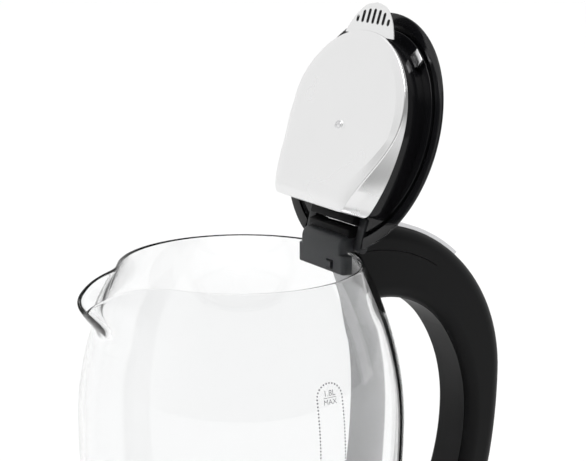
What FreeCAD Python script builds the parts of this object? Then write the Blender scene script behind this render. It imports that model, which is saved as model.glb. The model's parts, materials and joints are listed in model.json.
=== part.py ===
import FreeCAD, Part
import Sketcher
import math
import os
from FreeCAD import Placement, Rotation, Vector

# Glass electric kettle on its power base, lid open.
# Frame: millimetres, +Z up, origin on the table under the jug's axis.
# +X points at the handle, -X at the spout.

os.makedirs("parts", exist_ok=True)
doc = FreeCAD.newDocument("electric_kettle")

# ---------------------------------------------------------------- driving dimensions
DIMENSIONS = {
    # glass jug
    "belly_radius": 79.0,
    "belly_height": 152.3,
    "shoulder_curve": 292.0,
    "skirt_curve": 680.0,
    "glass_wall": 3.0,
    "glass_foot": 57.0,
    "rim_height": 230.0,
    "rim_radius": 58.3,
    "spout_reach": 22.5,
    "spout_start": 197.0,
    "spout_rise": 27.0,
    "spout_spread": 14.8,
    "lip_droop_radius": 26.85,
    "lip_droop_start": 62.0,
    # steel parts round the glass
    "band_width": 32.0,
    "band_thickness": 1.0,
    "fit_gap": 0.3,
    "band_top": 226.0,
    "collar_top": 61.5,
    "collar_top_radius": 73.2,
    "collar_foot_radius": 76.0,
    "steel_sheet": 1.0,
    # underside of the jug and the power base
    "jug_foot": 17.2,
    "skirt_lip": 20.8,
    "housing_neck": 70.2,
    "housing_mouth": 72.6,
    "ledge_radius": 67.3,
    "ledge_opening": 56.0,
    "base_cover_radius": 72.3,
    "base_cover_thickness": 3.0,
    "seal_inside": 58.0,
    "seal_outside": 67.0,
    "base_radius": 80.0,
    "base_skirt_top": 11.5,
    "base_deck": 16.8,
    "plastic_wall": 2.0,
    "foot_height": 2.0,
    "foot_ring_radius": 66.0,
    "foot_ring_width": 8.0,
    "plate_depth": 2.5,
    "plug_radius": 15.0,
    "plug_wall": 2.4,
    "plug_floor": 20.0,
    "plug_top": 32.0,
    "core_radius": 5.0,
    "core_bore": 1.6,
    "core_top": 30.5,
    "socket_radius": 15.6,
    "socket_wall": 3.6,
    "socket_top": 34.0,
    "gland_radius": 3.4,
    "gland_height": 8.5,
    "cord_radius": 2.6,
    "screw_circle": 62.0,
    "plate_screw_circle": 45.0,
    # heating
    "plate_radius": 62.3,
    "plate_thickness": 0.8,
    "spreader_thickness": 3.5,
    "control_radius": 27.0,
    "control_neck": 20.0,
    "control_shoulder": 44.0,
    "element_radius": 38.0,
    "element_tube": 3.6,
    # handle
    "handle_width": 30.0,
    "handle_top": 241.2,
    "shoulder_x": 63.8,
    "shoulder_radius": 87.0,
    "handle_round": 7.0,
    "grip_top": 203.15,
    "cover_depth": 11.8,
    "trim_width": 17.0,
    "trim_rise": 1.8,
    # hinge and lid
    "pivot_x": 54.5,
    "pivot_height": 233.4,
    "pin_radius": 1.5,
    "pin_play": 0.06,
    "block_width": 35.0,
    "block_face": 45.3,
    "block_foot": 220.7,
    "block_top": 239.0,
    "block_rear": 60.5,
    "barrel_radius": 9.3,
    "ear_gap": 0.7,
    "ear_width": 5.8,
    "lid_open_angle": 108.0,
    "lid_radius": 60.0,
    "lid_seat": 231.0,
    "lid_crown": 246.0,
    "lid_ring": 5.4,
    "lid_skin": 2.2,
    "plug_wall_radius": 48.3,
    "plug_flat": 39.5,
    "filter_level": 220.6,
    "slot_width": 2.2,
    "slot_pitch": 4.22,
}

sheet = doc.addObject("Spreadsheet::Sheet", "dims")
for row, (alias, value) in enumerate(DIMENSIONS.items(), start=1):
    sheet.set(f"A{row}", alias)
    sheet.set(f"B{row}", str(value))
    sheet.setAlias(f"B{row}", alias)
doc.recompute()

Z_AXIS = Vector(0, 0, 1)
Y_AXIS = Vector(0, 1, 0)
ORIGIN = Vector(0, 0, 0)
sub_parts = []


def dim(alias):
    """The present value of one cell of the sheet."""
    return float(getattr(sheet, alias))


def value_of(expression):
    """The number an expression such as 'dims.glass_wall + 1' gives."""
    return float(sheet.evalExpression(expression))


def keep(item, label):
    """Name a finished sub-part and list it for export."""
    item.Label = label
    sub_parts.append(item)
    return item


def keep_shape(label, shape, placement=None):
    """A sub-part whose shape is made with Part's own functions."""
    item = doc.addObject("Part::Feature", label)
    item.Shape = shape
    if placement is not None:
        item.Placement = placement.multiply(shape.Placement)
    return keep(item, label)


# ---------------------------------------------------------------- sketch helpers
def origin_plane(body, role):
    return next(f for f in body.Origin.OriginFeatures if f.Role == role)


def new_sketch(body, name, role):
    sketch = body.newObject("Sketcher::SketchObject", name)
    sketch.AttachmentSupport = (origin_plane(body, role), [""])
    sketch.MapMode = "FlatFace"
    return sketch


def outline_sketch(body, name, role, corners):
    """A closed outline of straight edges; each corner is a pair of expressions."""
    sketch = new_sketch(body, name, role)
    points = [Vector(value_of(a), value_of(b), 0) for a, b in corners]
    count = len(points)
    for i in range(count):
        sketch.addGeometry(Part.LineSegment(points[i], points[(i + 1) % count]), False)
    for i in range(count):
        sketch.addConstraint(Sketcher.Constraint("Coincident", i, 2, (i + 1) % count, 1))
    for i, (across, up) in enumerate(corners):
        if points[i].x == 0:
            sketch.addConstraint(Sketcher.Constraint("PointOnObject", i, 1, -2))
        else:
            number = sketch.addConstraint(Sketcher.Constraint("DistanceX", -1, 1, i, 1, points[i].x))
            sketch.setExpression(f"Constraints[{number}]", across)
        number = sketch.addConstraint(Sketcher.Constraint("DistanceY", -1, 1, i, 1, points[i].y))
        sketch.setExpression(f"Constraints[{number}]", up)
    return sketch


def turned(label, corners):
    """A body turned about Z from a radius-height outline."""
    body = doc.addObject("PartDesign::Body", label)
    sketch = outline_sketch(body, label + "_profile", "XZ_Plane", corners)
    turn = body.newObject("PartDesign::Revolution", label + "_turn")
    turn.Profile = sketch
    turn.ReferenceAxis = (sketch, ["V_Axis"])
    turn.Angle = 360
    body.Tip = turn
    return keep(body, label)


def drill(body, name, role, centres, radius, length, reverse=False):
    """Round pockets of one size, cut from an origin plane of the body."""
    sketch = new_sketch(body, name + "_outline", role)
    for across, up in centres:
        sketch.addGeometry(Part.Circle(Vector(across, up, 0), Vector(0, 0, 1), radius), False)
    before = body.Tip.Shape.Volume if not body.Tip.Shape.isNull() else 0
    pocket = body.newObject("PartDesign::Pocket", name)
    pocket.Profile = sketch
    pocket.Type = "Length"
    pocket.Length = length
    pocket.Reversed = reverse
    body.Tip = pocket
    doc.recompute()
    if before and pocket.Shape.Volume >= before:
        raise RuntimeError(f"{name} removes nothing")


def circle_points(count, radius, first_angle):
    angles = [math.radians(first_angle + 360.0 * i / count) for i in range(count)]
    return [(radius * math.cos(a), radius * math.sin(a)) for a in angles]


def edge_chain(start, heading, runs):
    """Lines and clockwise arcs that follow on smoothly: (length,) or (radius, turn)."""
    point = Vector(start[0], start[1], 0)
    edges = []
    for run in runs:
        if len(run) == 1:
            step = Vector(math.cos(heading), math.sin(heading), 0) * run[0]
            edges.append(Part.LineSegment(point, point + step))
            point = point + step
            continue
        radius, turn = run[0], math.radians(run[1])
        inward = Vector(math.sin(heading), -math.cos(heading), 0)
        centre = point + inward * radius
        middle = centre - Vector(math.sin(heading - turn / 2), -math.cos(heading - turn / 2), 0) * radius
        end = centre - Vector(math.sin(heading - turn), -math.cos(heading - turn), 0) * radius
        edges.append(Part.Arc(point, middle, end))
        point = end
        heading -= turn
    return edges


def closed_loop(first, second):
    """Two edge chains run the same way, joined at both ends."""
    a_start, a_end = first[0].StartPoint, first[-1].EndPoint
    b_start, b_end = second[0].StartPoint, second[-1].EndPoint
    return first + second + [Part.LineSegment(a_start, b_start), Part.LineSegment(a_end, b_end)]


def upright(edges):
    """A face in the XZ plane from edges drawn in XY."""
    wires = [Part.Wire(group) for group in Part.sortEdges([e.toShape() for e in edges])]
    face = Part.Face(wires[0])
    face.rotate(ORIGIN, Vector(1, 0, 0), 90)
    return face


def slab(edges, width):
    """A plate of the given width, centred on the XZ plane."""
    face = upright(edges)
    face.translate(Vector(0, -width / 2, 0))
    return face.extrude(Vector(0, width, 0))


def polygon_slab(points, width):
    corners = [Vector(x, z, 0) for x, z in points]
    edges = [Part.LineSegment(a, b) for a, b in zip(corners, corners[1:] + corners[:1])]
    return slab(edges, width)


def block(low, high):
    size = Vector(*high) - Vector(*low)
    return Part.makeBox(size.x, size.y, size.z, Vector(*low))


def ring_of(count, radius, first_angle, make):
    """Copies of one solid spaced round the Z axis."""
    solids = []
    for i in range(count):
        solid = make()
        solid.translate(Vector(radius, 0, 0))
        solid.rotate(ORIGIN, Z_AXIS, first_angle + 360.0 * i / count)
        solids.append(solid)
    return Part.makeCompound(solids)


def screw(head_radius, head_height, shank_radius, length):
    """A pan-head screw standing on its head, with a cross recess."""
    head = Part.makeCylinder(head_radius, head_height)
    shank = Part.makeCylinder(shank_radius, length, Vector(0, 0, head_height))
    recess = head_radius * 0.55
    for turn in (0, 90):
        bar = Part.makeBox(2 * recess, recess * 0.4, head_height * 0.5,
                           Vector(-recess, -recess * 0.2, 0))
        bar.rotate(ORIGIN, Z_AXIS, turn)
        head = head.cut(bar)
    return head.fuse(shank).removeSplitter()


# ---------------------------------------------------------------- glass jug
def body_radius(height):
    """Outside radius of the plain glass body, fullest at the belly."""
    drop = height - dim("belly_height")
    curve = dim("shoulder_curve") if drop > 0 else dim("skirt_curve")
    return dim("belly_radius") - drop * drop / curve


def spout_bulge(height, angle):
    """How far the pulled spout stands out of the body, angle in degrees from -X."""
    share = min(max((height - dim("spout_start")) / dim("spout_rise"), 0.0), 1.0)
    rise = share * share * (3 - 2 * share)
    return dim("spout_reach") * rise * math.exp(-abs(angle / dim("spout_spread")) ** 2.37)


def glass_section(height, inset):
    """A level outline of the glass, drawn through evenly spaced points."""
    points = []
    steps = 96
    for i in range(steps):
        angle = -180 + 360.0 * i / steps
        radius = body_radius(height) + spout_bulge(height, angle) - inset
        turn = math.radians(angle)
        points.append(Vector(-radius * math.cos(turn), radius * math.sin(turn), height))
    curve = Part.BSplineCurve()
    curve.interpolate(Points=points, PeriodicFlag=True)
    return Part.Wire(curve.toShape())


def glass_loft(low, high, inset):
    """A solid skinned over evenly spaced level outlines."""
    spans = 36
    heights = [low + (high - low) * i / spans for i in range(spans + 1)]
    return Part.makeLoft([glass_section(height, inset) for height in heights], True, False)


def lip_cutter():
    """Everything above the rim and above the drooping lip."""
    start, radius = -dim("lip_droop_start"), dim("lip_droop_radius")
    rim, far, top = dim("rim_height"), 100.0, 260.0
    middle = Vector(start - radius * math.sin(math.pi / 4),
                    rim - radius + radius * math.cos(math.pi / 4), 0)
    low = Vector(start - radius, rim - radius, 0)
    corners = [low, Vector(-far, rim - radius, 0), Vector(-far, top, 0),
               Vector(far, top, 0), Vector(far, rim, 0), Vector(start, rim, 0)]
    edges = [Part.LineSegment(a, b) for a, b in zip(corners, corners[1:])]
    return slab(edges + [Part.Arc(Vector(start, rim, 0), middle, low)], 2 * far)


def make_glass():
    foot, top = dim("glass_foot"), dim("rim_height") + 4
    outer = glass_loft(foot, top, 0.0)
    inner = glass_loft(foot - 1, top + 1, dim("glass_wall"))
    return outer.cut(inner).cut(lip_cutter())


def body_line(offset, low, high):
    """The glass outside in side view, moved out by an offset."""
    steps = 12
    heights = [low + (high - low) * i / steps for i in range(steps + 1)]
    curve = Part.BSplineCurve()
    curve.interpolate(Points=[Vector(body_radius(z) + offset, 0, z) for z in heights])
    return curve


def body_shell(inset, outset, low, high):
    """A turned shell that follows the glass outside, between two offsets."""
    near, far = body_line(inset, low, high), body_line(outset, low, high)
    ends = [Part.LineSegment(near.StartPoint, far.StartPoint), Part.LineSegment(near.EndPoint, far.EndPoint)]
    wire = Part.Wire(Part.sortEdges([e.toShape() for e in (near, far, *ends)])[0])
    return Part.Face(wire).revolve(ORIGIN, Z_AXIS, 360)


keep_shape("glass_jug", make_glass())

band_gap = dim("fit_gap")
band_skin = body_shell(band_gap, band_gap + dim("band_thickness"), dim("collar_top") + 0.5, dim("band_top"))
band_strip = block((20, -dim("band_width") / 2, 0), (100, dim("band_width") / 2, 240))
keep_shape("steel_band", band_skin.common(band_strip))

# ---------------------------------------------------------------- underside of the jug
collar = turned("base_collar", [
    ("dims.collar_top_radius - 4.6", "dims.collar_top"),
    ("dims.collar_top_radius", "dims.collar_top"),
    ("dims.collar_foot_radius", "dims.skirt_lip + 0.2"),
    ("dims.collar_foot_radius - dims.steel_sheet", "dims.skirt_lip + 0.2"),
    ("dims.collar_top_radius - dims.steel_sheet", "dims.collar_top - dims.steel_sheet"),
    ("dims.collar_top_radius - 4.6", "dims.collar_top - dims.steel_sheet"),
])
doc.recompute()
FOOT_SCREW_Z = 53.0
FOOT_SCREW_HEAD = 67.7
FOOT_SCREW_CLEARANCE = 2.2
HEAD_RECESS = 3.1
SCREW_CLEARANCE = 1.7
drill(collar, "collar_screw_hole", "YZ_Plane", [(0, FOOT_SCREW_Z)], FOOT_SCREW_CLEARANCE, 120, True)

housing = turned("base_housing", [
    ("dims.collar_foot_radius", "dims.jug_foot"),
    ("dims.collar_foot_radius", "dims.skirt_lip"),
    ("dims.collar_foot_radius - 1.3", "dims.skirt_lip"),
    ("dims.collar_top_radius - 1.3", "dims.collar_top - 1.3"),
    ("dims.ledge_radius", "dims.collar_top - 1.3"),
    ("dims.ledge_radius", "dims.glass_foot - 3"),
    ("dims.ledge_opening", "dims.glass_foot - 3"),
    ("dims.ledge_opening", "dims.glass_foot - 6"),
    ("dims.housing_neck", "dims.glass_foot - 6"),
    ("dims.housing_mouth", "dims.jug_foot"),
])
doc.recompute()
drill(housing, "housing_screw_hole", "YZ_Plane", [(0, FOOT_SCREW_Z)], FOOT_SCREW_CLEARANCE, 120, True)
drill(housing, "foot_screw_recess", "YZ_Plane", [(0, FOOT_SCREW_Z)], 3.7, FOOT_SCREW_HEAD + 1.9, True)

cover = turned("base_cover", [
    ("dims.socket_radius + dims.socket_wall + 0.4", "dims.jug_foot"),
    ("dims.base_cover_radius", "dims.jug_foot"),
    ("dims.base_cover_radius", "dims.jug_foot + dims.base_cover_thickness"),
    ("dims.socket_radius + dims.socket_wall + 0.4", "dims.jug_foot + dims.base_cover_thickness"),
])
doc.recompute()
cover_screw_points = circle_points(3, dim("screw_circle"), 60.0)
drill(cover, "cover_screw_holes", "XY_Plane", cover_screw_points, SCREW_CLEARANCE, 60, True)
drill(cover, "cover_head_recesses", "XY_Plane", cover_screw_points, HEAD_RECESS, dim("jug_foot") + 1.9, True)

turned("glass_seal", [
    ("dims.seal_inside", "dims.glass_foot - 3"),
    ("dims.seal_outside", "dims.glass_foot - 3"),
    ("dims.seal_outside", "dims.glass_foot + 2"),
    ("dims.seal_outside - 0.5", "dims.glass_foot + 2"),
    ("dims.seal_outside - 0.5", "dims.glass_foot"),
    ("dims.seal_inside", "dims.glass_foot"),
])

turned("heating_plate", [
    ("0", "dims.glass_foot"),
    ("dims.plate_radius", "dims.glass_foot"),
    ("dims.plate_radius", "dims.glass_foot + dims.plate_thickness"),
    ("0", "dims.glass_foot + dims.plate_thickness"),
])

turned("heat_spreader", [
    ("0", "dims.glass_foot - 0.1 - dims.spreader_thickness"),
    ("dims.element_radius + 8", "dims.glass_foot - 0.1 - dims.spreader_thickness"),
    ("dims.element_radius + 8", "dims.glass_foot - 0.1"),
    ("0", "dims.glass_foot - 0.1"),
])

turned("jug_connector", [
    ("dims.socket_radius", "dims.jug_foot"),
    ("dims.socket_radius + dims.socket_wall", "dims.jug_foot"),
    ("dims.socket_radius + dims.socket_wall", "dims.socket_top"),
    ("dims.socket_radius", "dims.socket_top"),
])

turned("thermostat_control", [
    ("0", "dims.socket_top + 0.2"),
    ("dims.control_radius", "dims.socket_top + 0.2"),
    ("dims.control_radius", "dims.control_shoulder"),
    ("dims.control_neck", "dims.control_shoulder + 2"),
    ("dims.control_neck", "dims.glass_foot - 0.3 - dims.spreader_thickness"),
    ("0", "dims.glass_foot - 0.3 - dims.spreader_thickness"),
])

# A tube ring under the plate with two cold ends that turn down.
element_level = dim("glass_foot") - 0.2 - dim("spreader_thickness") - dim("element_tube")
element = Part.makeTorus(dim("element_radius"), dim("element_tube"), Vector(0, 0, element_level))
COLD_END_RADIUS, COLD_END_LENGTH, COLD_END_DROP = 2.2, 12.0, 14.0
SLEEVE_RADIUS, SLEEVE_LENGTH, SLEEVE_DROP = 3.0, 6.0, 5.0
COLD_END_SPREAD = 6.0
for side in (-1, 1):
    end_x, end_y = -dim("element_radius"), side * COLD_END_SPREAD
    cold_end = Part.makeCylinder(COLD_END_RADIUS, COLD_END_LENGTH,
                                 Vector(end_x, end_y, element_level - COLD_END_DROP))
    sleeve = Part.makeCylinder(SLEEVE_RADIUS, SLEEVE_LENGTH, Vector(end_x, end_y, element_level - SLEEVE_DROP))
    element = element.fuse(cold_end).fuse(sleeve)
keep_shape("heating_element", element)

BOSS_RADIUS, BOSS_BORE, BOSS_BORE_DEPTH = 3.6, 1.55, 14.0
boss_low = dim("jug_foot") + dim("base_cover_thickness") + 0.1
boss_top = dim("glass_foot") - 6.1


def boss():
    post = Part.makeCylinder(BOSS_RADIUS, boss_top - boss_low, Vector(0, 0, boss_low))
    return post.cut(Part.makeCylinder(BOSS_BORE, BOSS_BORE_DEPTH, Vector(0, 0, boss_low)))


keep_shape("base_bosses", ring_of(3, dim("screw_circle"), 60.0, boss))


def base_cover_screw():
    item = screw(2.9, 1.5, 1.5, 13)
    item.translate(Vector(0, 0, dim("jug_foot") + 0.3))
    return item


keep_shape("base_cover_screws", ring_of(3, dim("screw_circle"), 60.0, base_cover_screw))

# ---------------------------------------------------------------- power base
shell = turned("power_base_shell", [
    ("0", "dims.base_deck - dims.plastic_wall"),
    ("dims.base_radius - 4", "dims.base_deck - dims.plastic_wall"),
    ("dims.base_radius - dims.plastic_wall", "dims.base_skirt_top"),
    ("dims.base_radius - dims.plastic_wall", "dims.foot_height"),
    ("dims.base_radius", "dims.foot_height"),
    ("dims.base_radius", "dims.base_skirt_top"),
    ("dims.base_radius - 3", "dims.base_deck"),
    ("0", "dims.base_deck"),
])
doc.recompute()
drill(shell, "gland_hole", "YZ_Plane", [(0, dim("gland_height"))], dim("gland_radius"), 120, True)

plate = turned("power_base_plate", [
    ("0", "dims.foot_height"),
    ("dims.base_radius - dims.plastic_wall - 0.3", "dims.foot_height"),
    ("dims.base_radius - dims.plastic_wall - 0.3", "dims.foot_height + dims.plate_depth"),
    ("0", "dims.foot_height + dims.plate_depth"),
])
doc.recompute()
plate_screw_points = circle_points(3, dim("plate_screw_circle"), 0.0)
drill(plate, "plate_screw_holes", "XY_Plane", plate_screw_points, SCREW_CLEARANCE, 60, True)
drill(plate, "plate_head_recesses", "XY_Plane", plate_screw_points, HEAD_RECESS, dim("foot_height") + 1.7, True)

turned("base_foot_ring", [
    ("dims.foot_ring_radius - dims.foot_ring_width", "0"),
    ("dims.foot_ring_radius", "0"),
    ("dims.foot_ring_radius", "dims.foot_height"),
    ("dims.foot_ring_radius - dims.foot_ring_width", "dims.foot_height"),
])


def base_plate_screw():
    item = screw(2.9, 1.4, 1.5, 8)
    item.translate(Vector(0, 0, dim("foot_height") + 0.2))
    return item


keep_shape("power_base_screws", ring_of(3, dim("plate_screw_circle"), 0.0, base_plate_screw))


def along_x(radius, first, last, height):
    return Part.makeCylinder(radius, last - first, Vector(first, 0, height), Vector(1, 0, 0))


gland_z = dim("gland_height")
gland = along_x(dim("gland_radius") - 0.05, 74.0, 80.0, gland_z)
gland = gland.fuse(along_x(3.8, 75.6, 77.2, gland_z))
keep_shape("cord_gland", gland.cut(along_x(dim("cord_radius"), 70.0, 90.0, gland_z)))

plug_foot = "dims.base_deck + dims.fit_gap"
turned("base_connector", [
    ("dims.core_bore", plug_foot),
    ("dims.plug_radius", plug_foot),
    ("dims.plug_radius", "dims.plug_top"),
    ("dims.plug_radius - dims.plug_wall", "dims.plug_top"),
    ("dims.plug_radius - dims.plug_wall", "dims.plug_floor"),
    ("dims.core_radius", "dims.plug_floor"),
    ("dims.core_radius", "dims.core_top"),
    ("dims.core_bore", "dims.core_top"),
])
contact_low = dim("plug_floor")
PIN_CONTACT_RADIUS, PIN_CONTACT_LOW, PIN_CONTACT_LENGTH = 1.5, 18.0, 15.2
CONTACT_RINGS = ((5.1, 6.1, 28.0), (11.4, 12.4, 29.0))
contacts = [Part.makeCylinder(PIN_CONTACT_RADIUS, PIN_CONTACT_LENGTH, Vector(0, 0, PIN_CONTACT_LOW))]
for inner, outer, top in CONTACT_RINGS:
    tube = Part.makeCylinder(outer, top - contact_low, Vector(0, 0, contact_low))
    contacts.append(tube.cut(Part.makeCylinder(inner, top - contact_low, Vector(0, 0, contact_low))))
keep_shape("connector_contacts", Part.makeCompound(contacts))

# ---------------------------------------------------------------- handle
half_width = dim("handle_width") / 2
shoulder_low = dim("handle_top") - dim("shoulder_radius")
FRONT_X = 55.0
# Arcs of the handle's two lines below the shoulder, each a radius and its turn in degrees.
BACK_ARCS = ((262.0, 10), (78.0, 62))
GRIP_ARCS = ((49.0, 55), (82.0, 35), (115.5, 25), (32.0, 62))
BACK_FOOT, GRIP_LEAD, GRIP_FOOT = 24.0, 19.0, 22.0


def outer_run(inset):
    """The handle's outside line, from the hinge over the shoulder to the foot."""
    flat = dim("shoulder_x") - FRONT_X
    arcs = [(radius - inset, turn) for radius, turn in BACK_ARCS]
    return edge_chain((FRONT_X, dim("handle_top") - inset), 0.0,
                      [(flat,), (dim("shoulder_radius") - inset, 90), *arcs, (BACK_FOOT,)])


def inner_run(outset):
    """The line along the finger side, moved outwards from the fingers."""
    arcs = [(radius + outset, turn) for radius, turn in GRIP_ARCS]
    return edge_chain((FRONT_X, dim("grip_top") + outset), 0.0, [(GRIP_LEAD,), *arcs, (GRIP_FOOT,)])


def handle_blank():
    blank = slab(closed_loop(outer_run(0), inner_run(0)), dim("handle_width"))
    long_edges = [e for e in blank.Edges if abs(abs(e.CenterOfMass.y) - half_width) < 0.01
                  and e.CenterOfMass.x > 62]
    return blank.makeFillet(dim("handle_round"), long_edges)


def jug_envelope():
    """Room for the glass, the band and the collar, with the fitting gap."""
    top, foot = dim("rim_height") - 0.1, dim("skirt_lip") - 12
    skin = body_shell(-40, band_gap + dim("band_thickness") + 0.3, dim("collar_top"), top)
    core = Part.makeCylinder(45, 250)
    collar = Part.makeCone(dim("collar_foot_radius") + 0.3, dim("collar_top_radius") + 0.3,
                           dim("collar_top") + 0.3 - foot, Vector(0, 0, foot))
    return skin.fuse(core).fuse(collar)


envelope = jug_envelope()
hinge_room = block((40, -30, dim("rim_height") - 0.2), (60.8, 30, 260))
blank = handle_blank().cut(envelope).cut(hinge_room)

seam_radius = dim("shoulder_radius") - dim("cover_depth")
ZONE_MARGIN = 5.0
COVER_TURN, HOLLOW_TURN, GAP_TURN = 34, 31, 40
COVER_SKIN = 2.2


def shoulder_zone(high_radius, low_radius, turn, width, lead):
    """The space between two radii of the shoulder, led forward level to the front."""
    flat = dim("shoulder_x") - FRONT_X + lead
    runs = [edge_chain((FRONT_X - lead, shoulder_low + radius), 0.0, [(flat,), (radius, turn)])
            for radius in (high_radius, low_radius)]
    return slab(closed_loop(*runs), width)


cover_zone = shoulder_zone(dim("shoulder_radius") + ZONE_MARGIN, seam_radius, COVER_TURN, 60, ZONE_MARGIN)

STRIP_THICKNESS, STRIP_WIDTH = 3.2, 20.4
CHANNEL_DEPTH, CHANNEL_WIDTH = 13.0, 18.0
STRIP_PLAY = 0.2
SLOT_HALF, CHAMBER_HALF = 8.6, 5.5
slot_depth = STRIP_THICKNESS + STRIP_PLAY
steam_channel = slab(closed_loop(inner_run(slot_depth)[:-1], inner_run(CHANNEL_DEPTH)[:-1]), CHANNEL_WIDTH)
cover_slot = slab(closed_loop(inner_run(-8)[1:-1], inner_run(slot_depth)[1:-1]), STRIP_WIDTH + 0.6)
switch_room = block((86, -SLOT_HALF, 30), (106, SLOT_HALF, 66))
top_chamber = block((62, -CHAMBER_HALF, 206), (76, CHAMBER_HALF, 240))
handle = blank.cut(cover_zone).cut(steam_channel).cut(cover_slot).cut(switch_room).cut(top_chamber)

cover_strip = slab(closed_loop(inner_run(STRIP_PLAY)[1:-1], inner_run(STRIP_THICKNESS)[1:-1]), STRIP_WIDTH)
keep_shape("handle_inner_cover", cover_strip.cut(envelope))


def rounded_cover():
    """The handle's top cover: a skin over a hollow that opens towards the hinge."""
    hollow = shoulder_zone(dim("shoulder_radius") - COVER_SKIN, seam_radius - 1, HOLLOW_TURN, 21, 0)
    gap_room = shoulder_zone(seam_radius + band_gap, seam_radius - 3, GAP_TURN, 40, ZONE_MARGIN)
    return blank.common(cover_zone).cut(hollow).cut(gap_room)


def shoulder_sector(low_radius, high_radius, first, last, width):
    """A piece of a ring about the shoulder's centre, angles from the top in degrees."""
    centre = Vector(dim("shoulder_x"), 0, shoulder_low)
    ring = Part.makeCylinder(high_radius, width, centre - Vector(0, width / 2, 0), Y_AXIS)
    ring = ring.cut(Part.makeCylinder(low_radius, width, centre - Vector(0, width / 2, 0), Y_AXIS))
    reach = high_radius * 1.5
    corners = [(centre.x + reach * math.sin(math.radians(a)), centre.z + reach * math.cos(math.radians(a)))
               for a in (first, last)]
    return ring.common(polygon_slab([(centre.x, centre.z), *corners], width))


trim_high = dim("shoulder_radius") + dim("trim_rise")
trim_low = dim("shoulder_radius") - 1.0
button_low = dim("shoulder_radius") - 4.5
BUTTON_FROM, BUTTON_TO = 3.0, 13.6
TRIM_FROM, TRIM_TO = 14.8, 42.0

trim_groove = shoulder_sector(trim_low, trim_high + 5, TRIM_FROM - 0.2, TRIM_TO + 0.2, dim("trim_width") + 0.4)
button_well = shoulder_sector(button_low - 4, trim_high + 5, BUTTON_FROM - 0.4, BUTTON_TO + 0.8,
                              dim("trim_width") + 0.8)
keep_shape("handle_top_cover", rounded_cover().cut(trim_groove).cut(button_well))

trim = shoulder_sector(trim_low + 0.05, trim_high, TRIM_FROM, TRIM_TO, dim("trim_width"))
keep_shape("handle_top_trim", trim)
button = shoulder_sector(button_low, trim_high, BUTTON_FROM, BUTTON_TO, dim("trim_width"))
keep_shape("lid_release_button", button)

TUBE_OFFSET, TUBE_LEAD, TUBE_LAST_TURN = 8.2, 2.5, 36
TUBE_OUTSIDE, TUBE_INSIDE = 3.4, 2.4
tube_arcs = [(radius + TUBE_OFFSET, turn) for radius, turn in GRIP_ARCS[:-1]]
tube_arcs.append((GRIP_ARCS[-1][0] + TUBE_OFFSET, TUBE_LAST_TURN))
tube_start = FRONT_X + GRIP_LEAD - TUBE_LEAD
steam_path = edge_chain((tube_start, dim("grip_top") + TUBE_OFFSET), 0.0, [(TUBE_LEAD,), *tube_arcs])
spine = Part.Wire([e.toShape() for e in steam_path])
spine.rotate(ORIGIN, Vector(1, 0, 0), 90)


def pipe_along(wire, radius):
    start = wire.Edges[0].valueAt(wire.Edges[0].FirstParameter)
    circle = Part.Wire(Part.makeCircle(radius, start, Vector(1, 0, 0)))
    return wire.makePipeShell([circle], True, False)


keep_shape("steam_tube", pipe_along(spine, TUBE_OUTSIDE).cut(pipe_along(spine, TUBE_INSIDE)))

# ---------------------------------------------------------------- switch at the handle's foot
LEVER_X, LEVER_Z = 90.0, 53.0
LEVER_WIDTH, LEVER_HUB, LEVER_PIN, LEVER_PIN_LENGTH = 16.0, 3.2, 1.5, 26.0


def lever_rod(radius, length):
    """A cylinder on the lever's axis."""
    return Part.makeCylinder(radius, length, Vector(LEVER_X, -length / 2, LEVER_Z), Y_AXIS)


# The arm's outline, from the lever's axis.
LEVER_OUTLINE = ((0, 2.5), (10, -7), (15.5, -9.5), (15.5, -12.5), (8, -11.5), (-2, -2.5))
lever_arm = polygon_slab([(LEVER_X + x, LEVER_Z + z) for x, z in LEVER_OUTLINE], LEVER_WIDTH)
lever = lever_rod(LEVER_HUB, LEVER_WIDTH).fuse(lever_arm)
keep_shape("switch_lever", lever.cut(lever_rod(LEVER_PIN + dim("pin_play"), LEVER_WIDTH + 4)))
switch_pin = lever_rod(LEVER_PIN, LEVER_PIN_LENGTH)
keep_shape("switch_pin", switch_pin)
keep_shape("steam_switch", block((92, -7.5, 59), (104, 7.5, 63.5)))

# ---------------------------------------------------------------- hinge
HINGE_SCREW_X, HINGE_SCREW_Y = 68.0, 7.4
pivot = Vector(dim("pivot_x"), 0, dim("pivot_height"))
rim = dim("rim_height")
face_x = dim("block_face")
foot, top, rear = dim("block_foot"), dim("block_top"), dim("block_rear")
seat_x = face_x + 6.1
hinge_outline = [(face_x, foot), (face_x, top - 4.2), (face_x + 1.4, top - 1.6), (face_x + 5.2, top),
                 (rear, top), (rear, rim + 0.6), (seat_x, rim + 0.6), (seat_x, foot + 4.8),
                 (seat_x - 1.2, foot + 4.8), (seat_x - 1.2, foot)]
hinge_body = polygon_slab(hinge_outline, dim("block_width"))
barrel = Part.makeCylinder(dim("barrel_radius"), dim("block_width"),
                           pivot - Vector(0, dim("block_width") / 2, 0), Y_AXIS)
barrel_room = block((face_x + 5.2, -30, rim + 2), (rear, 30, 260))
hinge_body = hinge_body.fuse(barrel.common(barrel_room))
TONGUE_TOP = shoulder_low + seam_radius + 2.3
tongue = block((60.0, -10.2, TONGUE_TOP - 2.0), (73, 10.2, TONGUE_TOP))
hinge_body = hinge_body.fuse(tongue).removeSplitter()
pin_hole = Part.makeCylinder(dim("pin_radius"), 60, pivot - Vector(0, 30, 0), Y_AXIS)
catch_slot = block((40, -11.3, 222.2), (51.0, -5.7, 226.8))
hinge_body = hinge_body.cut(pin_hole).cut(catch_slot)
for side in (-1, 1):
    screw_hole = Part.makeCylinder(1.45, 20, Vector(HINGE_SCREW_X, side * HINGE_SCREW_Y, 225))
    hinge_body = hinge_body.cut(screw_hole)
keep_shape("hinge_block", hinge_body)

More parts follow.
